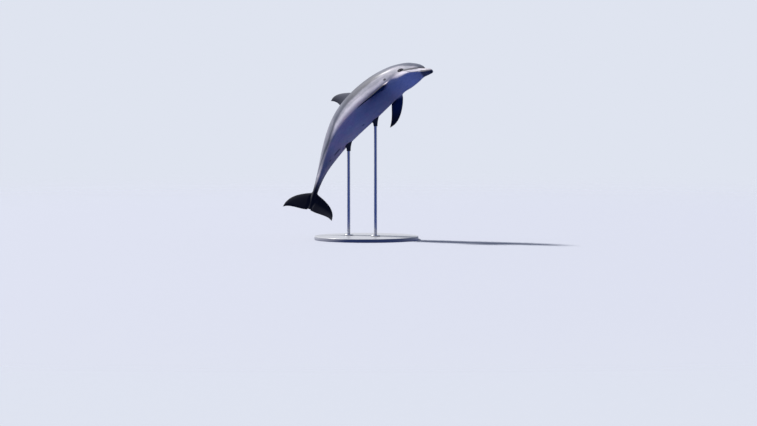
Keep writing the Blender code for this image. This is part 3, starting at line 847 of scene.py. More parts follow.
def slit(around, half_length, half_width):
    """Rim of a lens-shaped slit along the body: half length times the cosine of the turn, and half width
    times its sine times the sine's size."""
    turn = turns(around)
    return np.stack([half_length * np.cos(turn), half_width * np.sin(turn) * np.abs(np.sin(turn))], axis=1)


# ---------------------------------------------------------------- the skin

# Numbers that the skin carries at each point, for its material: the sine of the angle round the body, the
# distance along the skin from the mouth line, how far out on a fin it is, and how near to an opening's rim.
MARKS = ("lift", "lip", "blade", "lid")

SKIN_NODES = (
    "head", "lower_jaw", "neck", "trunk_front", "trunk_rear", "tail_stock_front", "tail_stock_rear",
    "dorsal_fin", "flipper_left", "flipper_right", "fluke_left", "fluke_right",
)


def eye_degrees(side):
    """Angle of an eye round the head: EYE_ANGLE over the left side, or as far over the right one."""
    return 90 - side * (90 - EYE_ANGLE)


def make_skin_mesh(size):
    """The closed skin: the grid, with a fin, lids or a slit grown from each patch that is left open."""
    skin = SkinMesh(*body_grid(size))
    grow_fin(skin, DORSAL_ROOT, partial(level_fin, fin=DORSAL_FIN, span=(0, 0, 1), normal=(0, -1, 0)))
    for side in (1, -1):
        fluke = partial(level_fin, fin=FLUKE, span=(0, side, 0), normal=(0, 0, side))
        grow_fin(skin, FLUKE_ROOT, fluke, side)
        grow_fin(skin, FLIPPER_ROOT, partial(flipper, side=side), side, FLIPPER_HUGS)
        grow_eye(skin, eye_degrees(side), size)
    radius, half_width, spread = CRESCENT
    horns = partial(crescent, radius=radius, half_width=half_width, spread=spread)
    grow_opening(skin, BLOWHOLE[0], 90, *BLOWHOLE[1:], horns, quarter=True)
    for place, *others, half_length, half_width in BELLY_SLITS:
        lens = partial(slit, half_length=half_length, half_width=half_width)
        grow_opening(skin, place, 270, *others, lens)
    skin.close_body()
    return skin.to_mesh("skin")


def make_eyeball_mesh(side):
    """An eyeball a little turned forward: a sphere whose radius grows over the cornea by a bell of the angle
    from its axis. The marks "iris" and "clock" are that angle and the turn round the axis."""
    here, forward, _, out, _ = opening_frame(EYE_STATION, eye_degrees(side))
    middle = here + out * (EYE_PROUD - EYE_RADIUS)
    axis = unit(out + EYE_TURN * forward)
    across = unit(forward - axis * np.dot(forward, axis))
    up = np.cross(axis, across) * side
    rings, columns = EYE_GRID
    polar = np.linspace(0, 1, rings) ** EYE_GATHER * math.pi * EYE_BACK
    clock = turns(columns)
    radius = EYE_RADIUS + CORNEA_PROUD * bell(polar, CORNEA_SPREAD)
    ring = np.cos(clock)[:, None] * across + np.sin(clock)[:, None] * up
    ball = np.cos(polar)[:, None, None] * axis + np.sin(polar)[:, None, None] * ring
    ball = middle + radius[:, None, None] * ball
    poles = middle + axis * radius[0], middle - axis * radius[-1]
    mesh = capped_mesh("eyeball", ball[1:], poles)
    put_mark(mesh, "iris", np.append(np.repeat(polar[1:], columns), [0, math.pi]))
    put_mark(mesh, "clock", np.append(np.tile(clock, rings - 1), [0, 0]))
    return mesh


# ---------------------------------------------------------------- the stand

ENDS = ("front", "rear")
# The board's, the rods', the collars' and the cups' columns round their axes.
BOARD_SIDES = 256
ROD_SIDES = 64
COLLAR_SIDES = 128
CUP_SIDES = 96
# A rod ends this far under the skin, inside its cup, and its rims are rounded by ROD_EDGE.
ROD_UNDER_SKIN = 6 * MM
ROD_EDGE = 1.2 * MM
# Play between a rod and its collar and cup, and the chamfers of a collar's foot.
ROD_PLAY = 0.3 * MM
COLLAR_CHAMFER = 1 * MM
# A cup's wall at its neck, its radius at its rim, the power of the height by which it flares, and how far
# under the skin its top lies.
CUP_WALL = 6 * MM
CUP_RADIUS = 40 * MM
CUP_FLARE = 2.6
CUP_UNDER_SKIN = 0.4 * MM
# The small ring in the middle of a cup's top and of its bore, as a part of the bore's radius, and the part of
# a cup's height at which its flare starts.
CUP_HEART = 0.04
CUP_FLARE_FROM = 0.008
# The belly over a rod is fitted to the skin within this distance of its axis, and as far up as this.
FIT_REACH = 60 * MM
FIT_HEIGHT = 150 * MM
# The steps of a rounded edge, as angles.
QUADRANT = np.linspace(0, math.pi / 2, 7)


def revolved(profile, centre, sides):
    """Rings of points of a profile of (radius, height), carried round an upright axis."""
    radius, height = (np.asarray(profile, float)[:, k, None] for k in (0, 1))
    x, y = centre[0] + radius * np.cos(turns(sides)), centre[1] + radius * np.sin(turns(sides))
    return np.stack([x, y, np.broadcast_to(height, x.shape)], axis=2)


def arc(radius, height, edge, bow, way=1):
    """Quarter circle of a rounded edge round (radius, height): out by the cosine, up or down by the sine."""
    return np.stack([radius + edge * np.cos(bow), height + way * edge * np.sin(bow)], axis=1)


def rounded(low, high, outer, edge):
    """Profile of a disc with rounded rims, from the middle of its underside to the middle of its top."""
    under = arc(outer - edge, low + edge, edge, QUADRANT[::-1], -1)
    over = arc(outer - edge, high - edge, edge, QUADRANT)
    flats = np.linspace(0.2, 0.98, 5)[:, None] * (outer - edge)
    bottom = np.hstack([flats, np.full_like(flats, low)])
    upper = np.hstack([flats[::-1], np.full_like(flats, high)])
    return np.vstack([bottom, under, over, upper])


def belly_fit(x, y):
    """The belly over a place on the stand, as the cubic surface z(x, y) that fits it best there."""
    stations, angles = np.linspace(25, 75, 501)[:, None], np.radians(np.arange(0, 360, 1.0))
    skin = bend(surface(stations, angles)).reshape(-1, 3)
    near = skin[np.hypot(skin[:, 0] - x, skin[:, 1] - y) < FIT_REACH]
    near = near[near[:, 2] < near[:, 2].min() + FIT_HEIGHT]
    powers = [(0, 0), (1, 0), (0, 1), (2, 0), (1, 1), (0, 2), (3, 0), (2, 1), (1, 2), (0, 3)]

    def terms(u, v):
        """The powers of u and v up to the third."""
        return np.stack([u**i * v**j for i, j in powers], axis=-1)

    weights = np.linalg.lstsq(terms(near[:, 0] - x, near[:, 1] - y), near[:, 2], rcond=None)[0]
    return lambda px, py: terms(px - x, py - y) @ weights


def node_rim(name):
    """Lowest and highest level of an upright round node, its middle (x, y) and its radius."""
    low, high = (np.array(corner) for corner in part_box(name))
    return low[2], high[2], (low[:2] + high[:2]) / 2, (high[0] - low[0]) / 2


def collar_mesh(low, high, centre, inner, outer, edge):
    """A ring round a rod: a closed profile with a chamfered foot, and a top that is rounded on both sides."""
    cut, bow = COLLAR_CHAMFER, np.linspace(0, math.pi / 2, 6)
    foot = [(inner, low), (inner + cut, low), (outer - cut, low), (outer, low + cut)]
    top = arc(outer - edge, high - edge, edge, bow)
    mouth = arc(inner + edge / 2, high - edge / 2, edge / 2, bow + math.pi / 2)
    points = revolved(np.vstack([foot, top, mouth]), centre, COLLAR_SIDES).reshape(-1, 3)
    numbers = np.arange(len(points)).reshape(-1, COLLAR_SIDES)
    return closed_mesh("collar", points, band(np.vstack([numbers, numbers[:1]])))


def cup_mesh(foot, belly, centre, inner, edge):
    """A rubber cup round a rod's top: its outside flares from the neck to the rim by the CUP_FLARE power of
    the height, its rim is rounded, its top follows the belly a hair below it, and its bore is closed."""
    neck, wide, heart = inner - ROD_PLAY + CUP_WALL, CUP_RADIUS, inner * CUP_HEART
    share = np.linspace(0, 1, 26)
    flare = neck + (wide - neck) * share**CUP_FLARE
    bow = QUADRANT[1:]
    across = np.linspace(wide - edge, heart, 12)[1:]
    radius = np.concatenate([[inner, neck - COLLAR_CHAMFER], flare, wide - edge + edge * np.cos(bow), across])
    # Each ring lies at its part of the height from the foot to the top, less its own drop.
    part = np.concatenate([[0, 0], share, np.ones(len(bow) + len(across))])
    part[2] = CUP_FLARE_FROM
    drop = np.concatenate([[0, 0], edge * share**8, edge - edge * np.sin(bow), 0 * across])[:, None]
    shell = revolved(np.stack([radius, 0 * radius], axis=1), centre, CUP_SIDES)
    top = belly(shell[:, :, 0], shell[:, :, 1]) - CUP_UNDER_SKIN
    shell[:, :, 2] = foot + (top - foot) * part[:, None] - drop
    bore_top = belly(*centre) - ROD_UNDER_SKIN + ROD_PLAY
    bore = revolved([(heart, bore_top), (inner, bore_top)], centre, CUP_SIDES)
    return capped_mesh("cup", np.concatenate([bore, shell]))


def add_support(end, look, steel, rubber):
    """One support under the belly: a rod with eased ends, a collar round its foot and a rubber cup on top."""
    low, _, centre, radius = node_rim(f"stand_rod_{end}")
    belly = belly_fit(*centre)
    profile = rounded(low, belly(*centre) - ROD_UNDER_SKIN, radius, ROD_EDGE)
    rod = capped_mesh("rod", revolved(profile, centre, ROD_SIDES))
    add_piece(f"stand_post_{end}", rod, steel, (f"stand_rod_{end}",))

    low, high, _, outer = node_rim(f"stand_collar_{end}")
    collar = collar_mesh(low, high, centre, radius + ROD_PLAY, outer, look.collar_edge)
    add_piece(f"stand_ring_{end}", collar, steel, (f"stand_collar_{end}",))

    low, *_ = node_rim(f"stand_pad_{end}")
    cup = cup_mesh(low, belly, centre, radius + ROD_PLAY, look.cup_edge)
    add_piece(f"stand_cup_{end}", cup, rubber, (f"stand_pad_{end}",))


# ---------------------------------------------------------------- shader nodes

class Term:
    """A socket of a node tree that Python arithmetic can be written on. Each sum or product adds a Math
    node."""

    def __init__(self, tree, socket=None):
        self.tree, self.socket = tree, socket

    def node(self, kind, settings=None, sockets=None, output=0):
        """Adds a node: its settings first, then the values or links of its sockets. Returns one output."""
        made = self.tree.nodes.new("ShaderNode" + kind)
        for name, value in (settings or {}).items():
            setattr(made, name, value)
        for name, value in (sockets or {}).items():
            if isinstance(value, Term):
                self.tree.links.new(value.socket, made.inputs[name])
            else:
                made.inputs[name].default_value = value
        return Term(self.tree, made.outputs[output])

    def math(self, operation, first, second=0.0):
        """A Math node on one or two numbers."""
        return self.node("Math", {"operation": operation}, {0: first, 1: second})

    def __add__(self, other):
        return self.math("ADD", self, other)

    def __sub__(self, other):
        return self.math("SUBTRACT", self, other)

    def __rsub__(self, other):
        return self.math("SUBTRACT", other, self)

    def __mul__(self, other):
        return self.math("MULTIPLY", self, other)

    def __truediv__(self, other):
        return self.math("DIVIDE", self, other)

    def __pow__(self, other):
        return self.math("POWER", self, other)

    def __abs__(self):
        return self.math("ABSOLUTE", self)

    __radd__ = __add__
    __rmul__ = __mul__

    def sine(self):
        """Sine of this number, in radians."""
        return self.math("SINE", self)

    def rise(self, low, high):
        """0 below low, 1 above high, smooth between; with low above high it falls."""
        if not isinstance(low, Term) and not isinstance(high, Term) and low > high:
            return 1 - self.rise(high, low)
        settings = {"interpolation_type": "SMOOTHSTEP"}
        return self.node("MapRange", settings, {"Value": self, "From Min": low, "From Max": high})

    def bump(self, width):
        """1 at 0, falling as exp(-(self / width) squared)."""
        ratio = self / width
        return self.math("POWER", math.e, ratio * ratio * -1.0)

    def noise(self, scale, detail, roughness):
        """Noise at this vector, from 0 to 1."""
        sockets = {"Vector": self, "Scale": scale, "Detail": detail, "Roughness": roughness}
        return self.node("TexNoise", {}, sockets)

    def wander(self, scale, detail, roughness):
        """Noise at this vector that wanders about 0."""
        return self.noise(scale, detail, roughness) - 0.5

    def stretched(self, x, y, z):
        """This vector, each part times its own number."""
        return self.node("VectorMath", {"operation": "MULTIPLY"}, {0: self, 1: (x, y, z)})

    def scaled(self, factor):
        """This vector or colour times one number."""
        return self.node("VectorMath", {"operation": "SCALE"}, {0: self, "Scale": factor})

    def axes(self):
        """The three parts of this vector."""
        outputs = self.node("SeparateXYZ", {}, {"Vector": self}).socket.node.outputs
        return [Term(self.tree, outputs[axis]) for axis in "XYZ"]


def mixed(factor, first, second):
    """A colour between first and second, which are Terms or (red, green, blue). A Mix node's sockets 6 and 7
    and its output 2 are those for colours."""
    tell = factor if isinstance(factor, Term) else first if isinstance(first, Term) else second
    first, second = (c if isinstance(c, Term) else (*c, 1) for c in (first, second))
    return tell.node("Mix", {"data_type": "RGBA"}, {0: factor, 6: first, 7: second}, output=2)


def distance(first, second):
    """Root of the sum of two numbers' squares."""
    return (first**2.0 + second**2.0) ** 0.5


def new_material(name, **fixed):
    """A material, a Term on its tree and its Principled shader, whose own sockets hold the fixed values."""
    material = bpy.data.materials.new(name)
    material.use_nodes = True
    shader = material.node_tree.nodes["Principled BSDF"]
    for socket, value in fixed.items():
        shader.inputs[socket.replace("_", " ")].default_value = value
    return material, Term(material.node_tree), shader


def feed(start, shader, **varying):
    """Links what changes over the surface to the shader's sockets."""
    for socket, term in varying.items():
        start.tree.links.new(term.socket, shader.inputs[socket.replace("_", " ")])


def attribute(start, name, output="Fac"):
    """A mark of the mesh: its number as Fac or its vector as Vector."""
    return start.node("Attribute", {"attribute_name": name}, output=output)


def object_place(start):
    """The place on the object, in metres."""
    return start.node("TexCoord", output="Object")


# ---------------------------------------------------------------- materials

def coat_bump(start, *heights):
    """A bump from heights in metres, added together."""
    total = sum(heights[1:], heights[0])
    return start.node("Bump", {}, {"Strength": 1.0, "Distance": 1.0, "Height": total})


# The coat's borders at stations in percent of the length, as heights of the mark "lift", which is the sine of
# the angle from the left side upwards. The cape comes down to the first, narrow at the head and low under the
# dorsal fin, and the belly comes up to the second.
CAPE_BORDER = (
    (6, 0.66), (14, 0.50), (20, 0.44), (28, 0.28), (34, 0.20), (46, 0.14), (52, -0.06), (58, -0.30),
    (66, -0.56), (76, -0.70), (84, -0.70),
)
BELLY_BORDER = (
    (0, -0.12), (11, -0.12), (18, -0.28), (30, -0.36), (45, -0.36), (54, -0.46), (62, -0.60), (78, -0.82),
    (90, -1.05),
)
# How light the underside is: its own pale throat, made paler still as painted light where it lies in shade,
# and darker behind the flippers' roots as their painted shadow.
UNDERSIDE_TONE_AND_PAINTED_SHADE = ((6, 1.1), (12, 1.35), (17, 1.15), (19, 1.1), (28, 0.72), (50, 1.0))
# The dark line from the eye forward to the crease, as heights in percent over the axis.
BRIDLE = ((5.0, 1.0), (6.2, 0.4), (8.0, -0.3), (10.0, -0.85), (12.5, -1.05), (15.0, -0.5))
# The scar's station and its height in percent over the axis.
SCAR = (23.5, -1.5)
# Groups of scratches: how far each is turned, how close its lines are, and where its noise is read.
RAKES = ((0.5, 95.0, 3.1), (-0.9, 70.0, 7.7))


class Coat:
    """What the coat is placed by.

    The station along the body, the height and the distance from the middle plane are in percent of the length
    and come from the rest coordinates. lift, lip, blade and lid are the marks that the mesh carries. The
    others are noises, from broad clouds to fine grain, and the scratches.
    """

    def __init__(self, start):
        self.start = start
        self.rest = attribute(start, "rest", "Vector")
        self.station, self.wide, self.tall = (part * (1 / PERCENT) for part in self.rest.axes())
        self.side = abs(self.wide)
        self.lift, self.lip, self.blade, self.lid = (attribute(start, name) for name in MARKS)
        self.broad = self.rest.wander(3.2, 3.0, 0.55)
        self.cloud = self.rest.wander(11.0, 4.0, 0.6)
        self.mottle = self.rest.wander(46.0, 4.0, 0.62)
        self.streak = self.rest.stretched(1.0, 7.0, 7.0).wander(9.0, 4.0, 0.6)
        self.grain = self.rest.wander(420.0, 3.0, 0.6)
        self.scratch = rake_marks(self.rest)

    def along(self, start, full, end, gone):
        """1 between the stations full and end, 0 before start and after gone."""
        return self.station.rise(start, full) * self.station.rise(gone, end)


def body_colour(coat, look):
    """The cape over the grey flank, with a darker patch on the back between the shoulders and the dorsal fin
    that is painted shade against the key light's highlight, a pale band that is partly painted light, and the
    pale belly with painted light and shade. Returns the colour, the belly's share and that patch's share."""
    station, broad, cloud = coat.station, coat.broad, coat.cloud
    border = place_curve(station, CAPE_BORDER) + broad * 0.22 + cloud * 0.12
    keel = place_curve(station, BELLY_BORDER) + broad * 0.20 + cloud * 0.12
    over = coat.lift - border
    # The cape is darkest just inside its border, and paler over the tail.
    cape = over.rise(-0.10, 0.10) * (1.0 - over.rise(0.15, 0.40) * (0.15 + station.rise(50, 60) * 0.40))
    belly = (keel - coat.lift).rise(-0.10, 0.14) * (0.35 + station.rise(76, 62) * 0.65)
    # A pale stripe above the belly, brighter than the skin's own tone as painted light along the edge of the
    # lit side.
    pale_band_and_painted_light = (coat.lift - keel - 0.12).bump(0.17) * coat.along(18, 28, 56, 64)
    # Painted shade: a darker patch on the back that holds down the key light's highlight there.
    painted_saddle_shade = over.rise(-0.10, 0.15) * coat.along(23, 31, 42, 50)

    colour = mixed((coat.streak + cloud + 0.1).rise(0.0, 0.35) * 0.16, look.flank, look.flush)
    colour = mixed(cape, colour, look.cape)
    colour = mixed(painted_saddle_shade * 0.5, colour, look.dark)
    colour = mixed(pale_band_and_painted_light * 0.75, colour, look.band)
    flush = (cloud * 2.0 + broad + 0.45).rise(0.2, 0.8) * station.rise(16, 26)
    # The underside's tone, scaled by painted light at the throat and by a painted shadow behind the flippers.
    under = mixed(flush, look.belly, look.flush).scaled(place_curve(station, UNDERSIDE_TONE_AND_PAINTED_SHADE))
    return mixed(belly, colour, under), belly, painted_saddle_shade


def head_colour(coat, look, colour):
    """The head: a dark line from the eye forward to the crease, a pale cheek under it whose pale tone is
    partly painted light of its wet sheen, a dark patch round the eye, a darker beak, and painted shade under
    the beak, along the mouth line and in the crease. Returns the colour and the patch's share."""
    station, tall = coat.station, coat.tall
    off_line = tall - place_curve(station, BRIDLE)
    bridle = off_line.bump(0.60 + coat.cloud * 0.4) * coat.along(4.6, 5.4, 14.6, 16.0)
    # The pale cheek is partly its own paler tone and partly painted light of the wet sheen there.
    cheek = off_line.rise(-0.1, -0.65) * (tall + 3.4).rise(-0.2, 0.9) * station.rise(18.0, 13.0)
    colour = mixed(cheek * 0.5, colour, look.band)
    colour = mixed(bridle * 0.95, colour, look.dark)

    eye_tall = float(surface(EYE_STATION, math.radians(EYE_ANGLE))[2] / PERCENT)
    from_eye = distance((station - EYE_STATION + 0.1) * 0.8, (tall - eye_tall) * 1.15)
    eye_patch = (from_eye + coat.cloud * 0.5).rise(1.32, 0.98) * (coat.side - 2.0).rise(0.0, 1.0)
    colour = mixed(eye_patch, colour, look.fin)

    over_lip = (tall + 0.8).rise(-0.3, 0.4) * 0.45
    # Painted shade: the beak's underside is darkened where it faces down.
    beak_underside_shade = (-1.2 - tall).rise(-0.25, 0.4) * 0.75
    beak = station.rise(6.4, 4.6) * (0.05 + over_lip + beak_underside_shade + station.rise(1.6, 0.0) * 0.2)
    # Painted shade along the groove of the closed mouth.
    lips = coat.lip.bump(0.0030) * station.rise(12.4, 11.6)
    # Painted shade in the crease between the beak and the melon.
    crease = (station - 4.95 - coat.side * 0.16).bump(0.16) * (tall - 0.4).rise(0.0, 0.5)
    for share in (beak, lips * 0.6, crease * 0.35):
        colour = mixed(share, colour, look.dark)
    return colour, eye_patch


def scarred(coat, look, colour):
    """One small dark scar behind the eye, on the right side only: a ragged spot, longer than it is tall."""
    place, height = SCAR
    from_scar = distance(coat.station - place, (coat.tall - height) * 1.4) + coat.mottle * 0.6
    on_right = (coat.wide * -1.0).rise(0.0, 1.0)
    return mixed(from_scar.rise(0.95, 0.50) * on_right * 0.85, colour, look.dark)


def fin_colour(coat, look, colour):
    """The fins are darker, from the fillet outwards: the dorsal fin most at its trailing edge and tip. Near
    their roots the flippers' faces that point down turn blue, partly their own paler underside and partly
    painted blue light from below, and the back half of the tail stock takes the fins' colour too. Returns the
    colour and the fins' share."""
    station = coat.station
    on_fin = coat.blade.rise(0.15, 1.05)
    upward = coat.start.node("NewGeometry", output="Normal").axes()[2]
    # Painted light: near the root the flippers' faces that point down turn blue, as if lit from below.
    under = station.rise(41, 38) * distance(coat.side, coat.tall).rise(17, 10) * upward.rise(0.05, -0.20)
    blade = mixed(under, look.fin, look.underside_tone_and_blue_light)
    dorsal = coat.along(38, 41, 64, 68) * (0.55 - station.rise(46, 53) * 0.35)
    colour = mixed(on_fin, colour, mixed(dorsal, blade, look.cape))
    # The back half of the tail stock takes the fins' colour, whose near-black is partly painted shade.
    return mixed(station.rise(82, 91), colour, look.fin), on_fin


def worn_colour(coat, look, colour, belly, on_fin):
    """Mottling, pale scratches, dark flecks on the belly, and painted shade that darkens the lids and the
    openings towards their rims and most on the walls inside them.
    """
    shade = 1.0 + coat.cloud * 0.30 + coat.mottle * 0.34 + coat.streak * 0.34
    colour = mixed(coat.scratch * 0.22 * (1.0 - on_fin * 0.6), colour.scaled(shade), look.scar)
    sockets = {"Vector": coat.rest, "Scale": 26.0, "Randomness": 1.0}
    flecks = coat.start.node("TexVoronoi", {"feature": "F1"}, sockets, "Distance")
    colour = mixed((flecks + coat.mottle * 0.10).rise(0.105, 0.06) * belly * 0.45, colour, look.dark)
    # Painted shade inside the lids and openings, deepest on their walls.
    return mixed(coat.lid * 0.75, colour, look.dark)


def skin_material(look):
    """Wet skin: a dark cape, a grey flank, a pale belly and near-black fins, whose borders wander with noise,
    over a bump of faint waves, clouds, grain, pores and scratches. The fins' near-black and some marks of the
    head and body are painted shade or painted light."""
    material, start, shader = new_material(
        "wet dolphin skin", Coat_Roughness=0.22, Coat_IOR=1.34, IOR=1.38, Specular_IOR_Level=0.20,
    )
    coat = Coat(start)
    colour, belly, painted_saddle_shade = body_colour(coat, look)
    colour, eye_patch = head_colour(coat, look, colour)
    colour = scarred(coat, look, colour)
    colour, on_fin = fin_colour(coat, look, colour)
    colour = worn_colour(coat, look, colour, belly, on_fin)

    pores = coat.rest.wander(900.0, 2.0, 0.5)
    waves = coat.rest.stretched(1.0, 0.25, 0.25).wander(55.0, 3.0, 0.5)
    bump = coat_bump(
        start, waves * 0.00028, coat.cloud * 0.0012, coat.grain * 0.00006, pores * 0.00003,
        coat.scratch * -0.00025,
    )
    rough = look.roughness + coat.cloud * 0.12 + coat.mottle * 0.10
    rough = rough + on_fin * 0.16 + eye_patch * 0.25 + coat.scratch * 0.15
    dry = 1.0 - on_fin * 0.7 - eye_patch * 0.9 - painted_saddle_shade * 0.5
    wet = look.wetness * (0.8 + coat.broad * 0.6 + coat.cloud * 0.5) * dry
    feed(start, shader, Base_Color=colour, Roughness=rough, Normal=bump, Coat_Weight=wet)
    return material


def place_curve(term, stops):
    """A number that changes along the body: smooth steps added between (place, value) stops."""
    total = stops[0][1]
    for (low, before), (high, after) in zip(stops, stops[1:]):
        total = term.rise(low, high) * (after - before) + total
    return total


def rake_marks(rest):
    """Groups of fine parallel scratches: a wave across a turned coordinate, kept where noise is high."""
    total = 0.0
    for turn, scale, seed in RAKES:
        sockets = {"Vector": rest, "Axis": (0.3, 1.0, 0.2), "Angle": turn}
        turned = rest.node("VectorRotate", {"rotation_type": "AXIS_ANGLE"}, sockets)
        bands = {"wave_type": "BANDS", "bands_direction": "Z"}
        sockets = {"Vector": turned, "Scale": scale, "Distortion": 1.2, "Detail": 2.0, "Detail Scale": 0.6}
        wave = rest.node("TexWave", bands, sockets, "Fac")
        where = turned.stretched(1.0, 3.0, 3.0).noise(2.6, 2.0, 0.5)
        shift = rest.node("VectorMath", {"operation": "ADD"}, {0: turned, 1: (seed, seed, 0.0)})
        broken = shift.stretched(1.0, 2.0, 5.0).noise(9.0, 2.0, 0.5)
        total = wave.rise(0.93, 0.99) * where.rise(0.60, 0.66) * broken.rise(0.52, 0.60) + total
    return total


def eye_material(look):
    """A dark wet eye: a brown iris that darkens to its rim, a nearly black pupil, longer than it is tall, and
    a greyish white beyond."""
    material, start, shader = new_material(
        "dark glossy eye", Coat_Weight=1.0, Coat_Roughness=0.02, IOR=1.38, Roughness=0.12,
    )
    polar, clock = attribute(start, "iris"), attribute(start, "clock")
    fibre = object_place(start).wander(600.0, 3.0, 0.6)
    ring = (clock * 46.0 + fibre * 4.0).sine()
    iris = mixed(0.5 + ring * 0.22 + fibre * 0.5, look.iris, look.iris_dark)
    iris = mixed(polar.rise(0.42, 0.60), iris, look.iris_dark)
    pupil = (polar * (1.0 + clock.sine() ** 2.0 * 0.55)).rise(0.30, 0.24)
    colour = mixed(pupil, iris, look.pupil)
    colour = mixed(polar.rise(0.68, 0.80), colour, look.white)
    feed(start, shader, Base_Color=colour)
    return material


def board_material(look):
    """Satin lacquer on board: grey, with faint clouds and grain, and a fine orange-peel bump."""
    material, start, shader = new_material("pale satin lacquer", Coat_Weight=0.25, Coat_Roughness=0.25)
    place = object_place(start)
    cloud = place.wander(3.5, 4.0, 0.6)
    fine = place.wander(260.0, 3.0, 0.6)
    speck = place.wander(900.0, 2.0, 0.5)
    grain = place.stretched(1.0, 14.0, 1.0).wander(7.0, 5.0, 0.62)
    colour = mixed(0.5 + cloud * 0.7 + grain * 0.55 + speck * 0.3, look.board, look.board_dark)
    rough = look.board_roughness + cloud * 0.12 + fine * 0.08
    bump = coat_bump(start, fine * 0.00008, grain * 0.00012)
    feed(start, shader, Base_Color=colour, Roughness=rough, Normal=bump)
    return material


def steel_material(look):
    """Satin stainless steel, brushed round: fine rings of roughness and bump along the height."""
    material, start, shader = new_material("satin stainless steel", Metallic=1.0)
    place = object_place(start)
    rings = place.stretched(0.02, 0.02, 1.0).wander(2600.0, 3.0, 0.65)
    cloud = place.wander(9.0, 4.0, 0.6)
    colour = mixed(0.5 + cloud * 0.5 + rings * 0.5, look.steel, look.steel_dark)
    bump = coat_bump(start, rings * 0.00002, cloud * 0.00005)
    feed(start, shader, Base_Color=colour, Roughness=0.27 + rings * 0.12 + cloud * 0.10, Normal=bump)
    return material


def rubber_material(look):
    """Matte moulded rubber with a fine grain and a little dust."""
    material, start, shader = new_material("matte black rubber", Specular_IOR_Level=0.35)
    place = object_place(start)
    grain = place.wander(700.0, 4.0, 0.65)
    cloud = place.wander(24.0, 4.0, 0.6)
    colour = mixed(0.35 + cloud * 0.6 + grain * 0.4, look.rubber, look.rubber_dust)
    bump = coat_bump(start, grain * 0.00010, cloud * 0.0001)
    feed(start, shader, Base_Color=colour, Roughness=0.66 + cloud * 0.2 + grain * 0.15, Normal=bump)
    return material


# ---------------------------------------------------------------- the stage

FLOOR_RADIUS = 25
FLOOR_LEVEL = -0.5 * MM
FLOOR_RINGS = 25
FLOOR_SIDES = 72


def floor_material(look):
    """A plain matt floor that fades out with distance from the stand."""
    material, start, shader = new_material("plain pale floor", Roughness=0.85, Specular_IOR_Level=0.2)
    place = object_place(start)
    length = start.node("VectorMath", {"operation": "LENGTH"}, {0: place}, "Value")
    speck = place.wander(240.0, 3.0, 0.6)
    colour = mixed(0.5 + speck * 0.4, look.floor, tuple(part * 0.96 for part in look.floor))
    feed(start, shader, Base_Color=colour, Alpha=length.rise(20.0, 7.0))
    return material


def make_world(look):
    """Soft studio light: a pale sky all round for the camera; the light is pale behind and above, dimmer in
    front, and deep blue from below."""
    world = bpy.data.worlds.new("studio")
    bpy.context.scene.world = world
    world.use_nodes = True
    start = Term(world.node_tree)
    _, depth, height = start.node("TexCoord", output="Generated").axes()
    sky = mixed(depth.rise(-0.5, 0.15), look.front, look.sky)
    sky = mixed(height.rise(0.25, 0.9) * 0.5, sky, look.zenith)
    light = mixed(height.rise(0.04, -0.22), sky, look.below)
    seen = start.node("LightPath", output="Is Camera Ray")
    background = world.node_tree.nodes["Background"]
    start.tree.links.new(mixed(seen, light, look.sky).socket, background.inputs["Color"])
    background.inputs["Strength"].default_value = 1.0


def add_floor(look):
    """A round floor just under the stand: rings whose radii grow as the 1.6 power of their number."""
    radius = FLOOR_RADIUS * np.linspace(0, 1, FLOOR_RINGS + 1)[1:] ** 1.6
    rings = revolved(np.stack([radius, 0 * radius + FLOOR_LEVEL], axis=1), (0, 0), FLOOR_SIDES)
    numbers = np.arange(FLOOR_RINGS * FLOOR_SIDES).reshape(-1, FLOOR_SIDES)
    faces = np.concatenate([band(numbers)[:, ::-1], fan(numbers[0], numbers.size)])
    mesh = mesh_of("floor", np.vstack([rings.reshape(-1, 3), (0, 0, FLOOR_LEVEL)]), faces)
    mesh.materials.append(floor_material(look))
    floor = bpy.data.objects.new("floor", mesh)
    bpy.context.scene.collection.objects.link(floor)
    floor.visible_diffuse = floor.visible_glossy = False


def add_sun(look):
    """The key light: a sun that shines from high on the left."""
    light = bpy.data.lights.new("key", "SUN")
    light.energy, light.angle, light.color = look.sun_strength, look.sun_size, look.sun_colour
    sun = bpy.data.objects.new("key", light)
    bpy.context.scene.collection.objects.link(sun)
    sun.rotation_euler = Vector(look.sun_from).to_track_quat("Z", "Y").to_euler()


def add_camera(look):
    """A long lens far off, as high as the animal's head and turned a little down."""
    lens = bpy.data.cameras.new("camera")
    lens.lens, lens.sensor_width, lens.clip_end = look.lens, 36.0, 500.0
    camera = bpy.data.objects.new("camera", lens)
    bpy.context.scene.collection.objects.link(camera)
    camera.location = look.camera_place
    camera.rotation_euler = (math.pi / 2 - look.camera_dip, 0.0, 0.0)
    bpy.context.scene.camera = camera


# ---------------------------------------------------------------- settings

def size_prop(name, description, default):
    """A setting that is a length, in metres."""
    return FloatProperty(
        name=name, description=description, default=default, min=0.0, unit="LENGTH", precision=4
    )


def colour_prop(name, description, default):
    """A setting that is a colour, as linear red, green and blue."""
    return FloatVectorProperty(
        name=name, description=description, default=default, size=3, subtype="COLOR", min=0.0, max=1.0
    )


def share_prop(name, description, default):
    """A setting from 0 to 1."""
    return FloatProperty(
        name=name, description=description, default=default, min=0.0, max=1.0, subtype="FACTOR"
    )


class DolphinBodySettings(bpy.types.PropertyGroup):
    """Sizes of the folds and lids that the skin adds to the body's own shape."""
    lip_depth: size_prop("Mouth groove depth", "How deep the line of the closed mouth goes", 0.003)
    lip_width: size_prop("Mouth groove width", "Half width of the line of the closed mouth", 0.0012)
    lip_fullness: size_prop("Lip fullness", "How far the lips swell beside the line", 0.0006)
    crease_depth: size_prop("Crease depth", "Depth of the fold between beak and melon", 0.0012)
    lid_width: size_prop("Eye opening length", "Length of the opening between the lids", 0.028)
    lid_height: size_prop("Eye opening height", "Height of the opening between the lids", 0.0175)
    lid_thickness: size_prop("Lid thickness", "How thick the lids are over the eyeball", 0.0014)


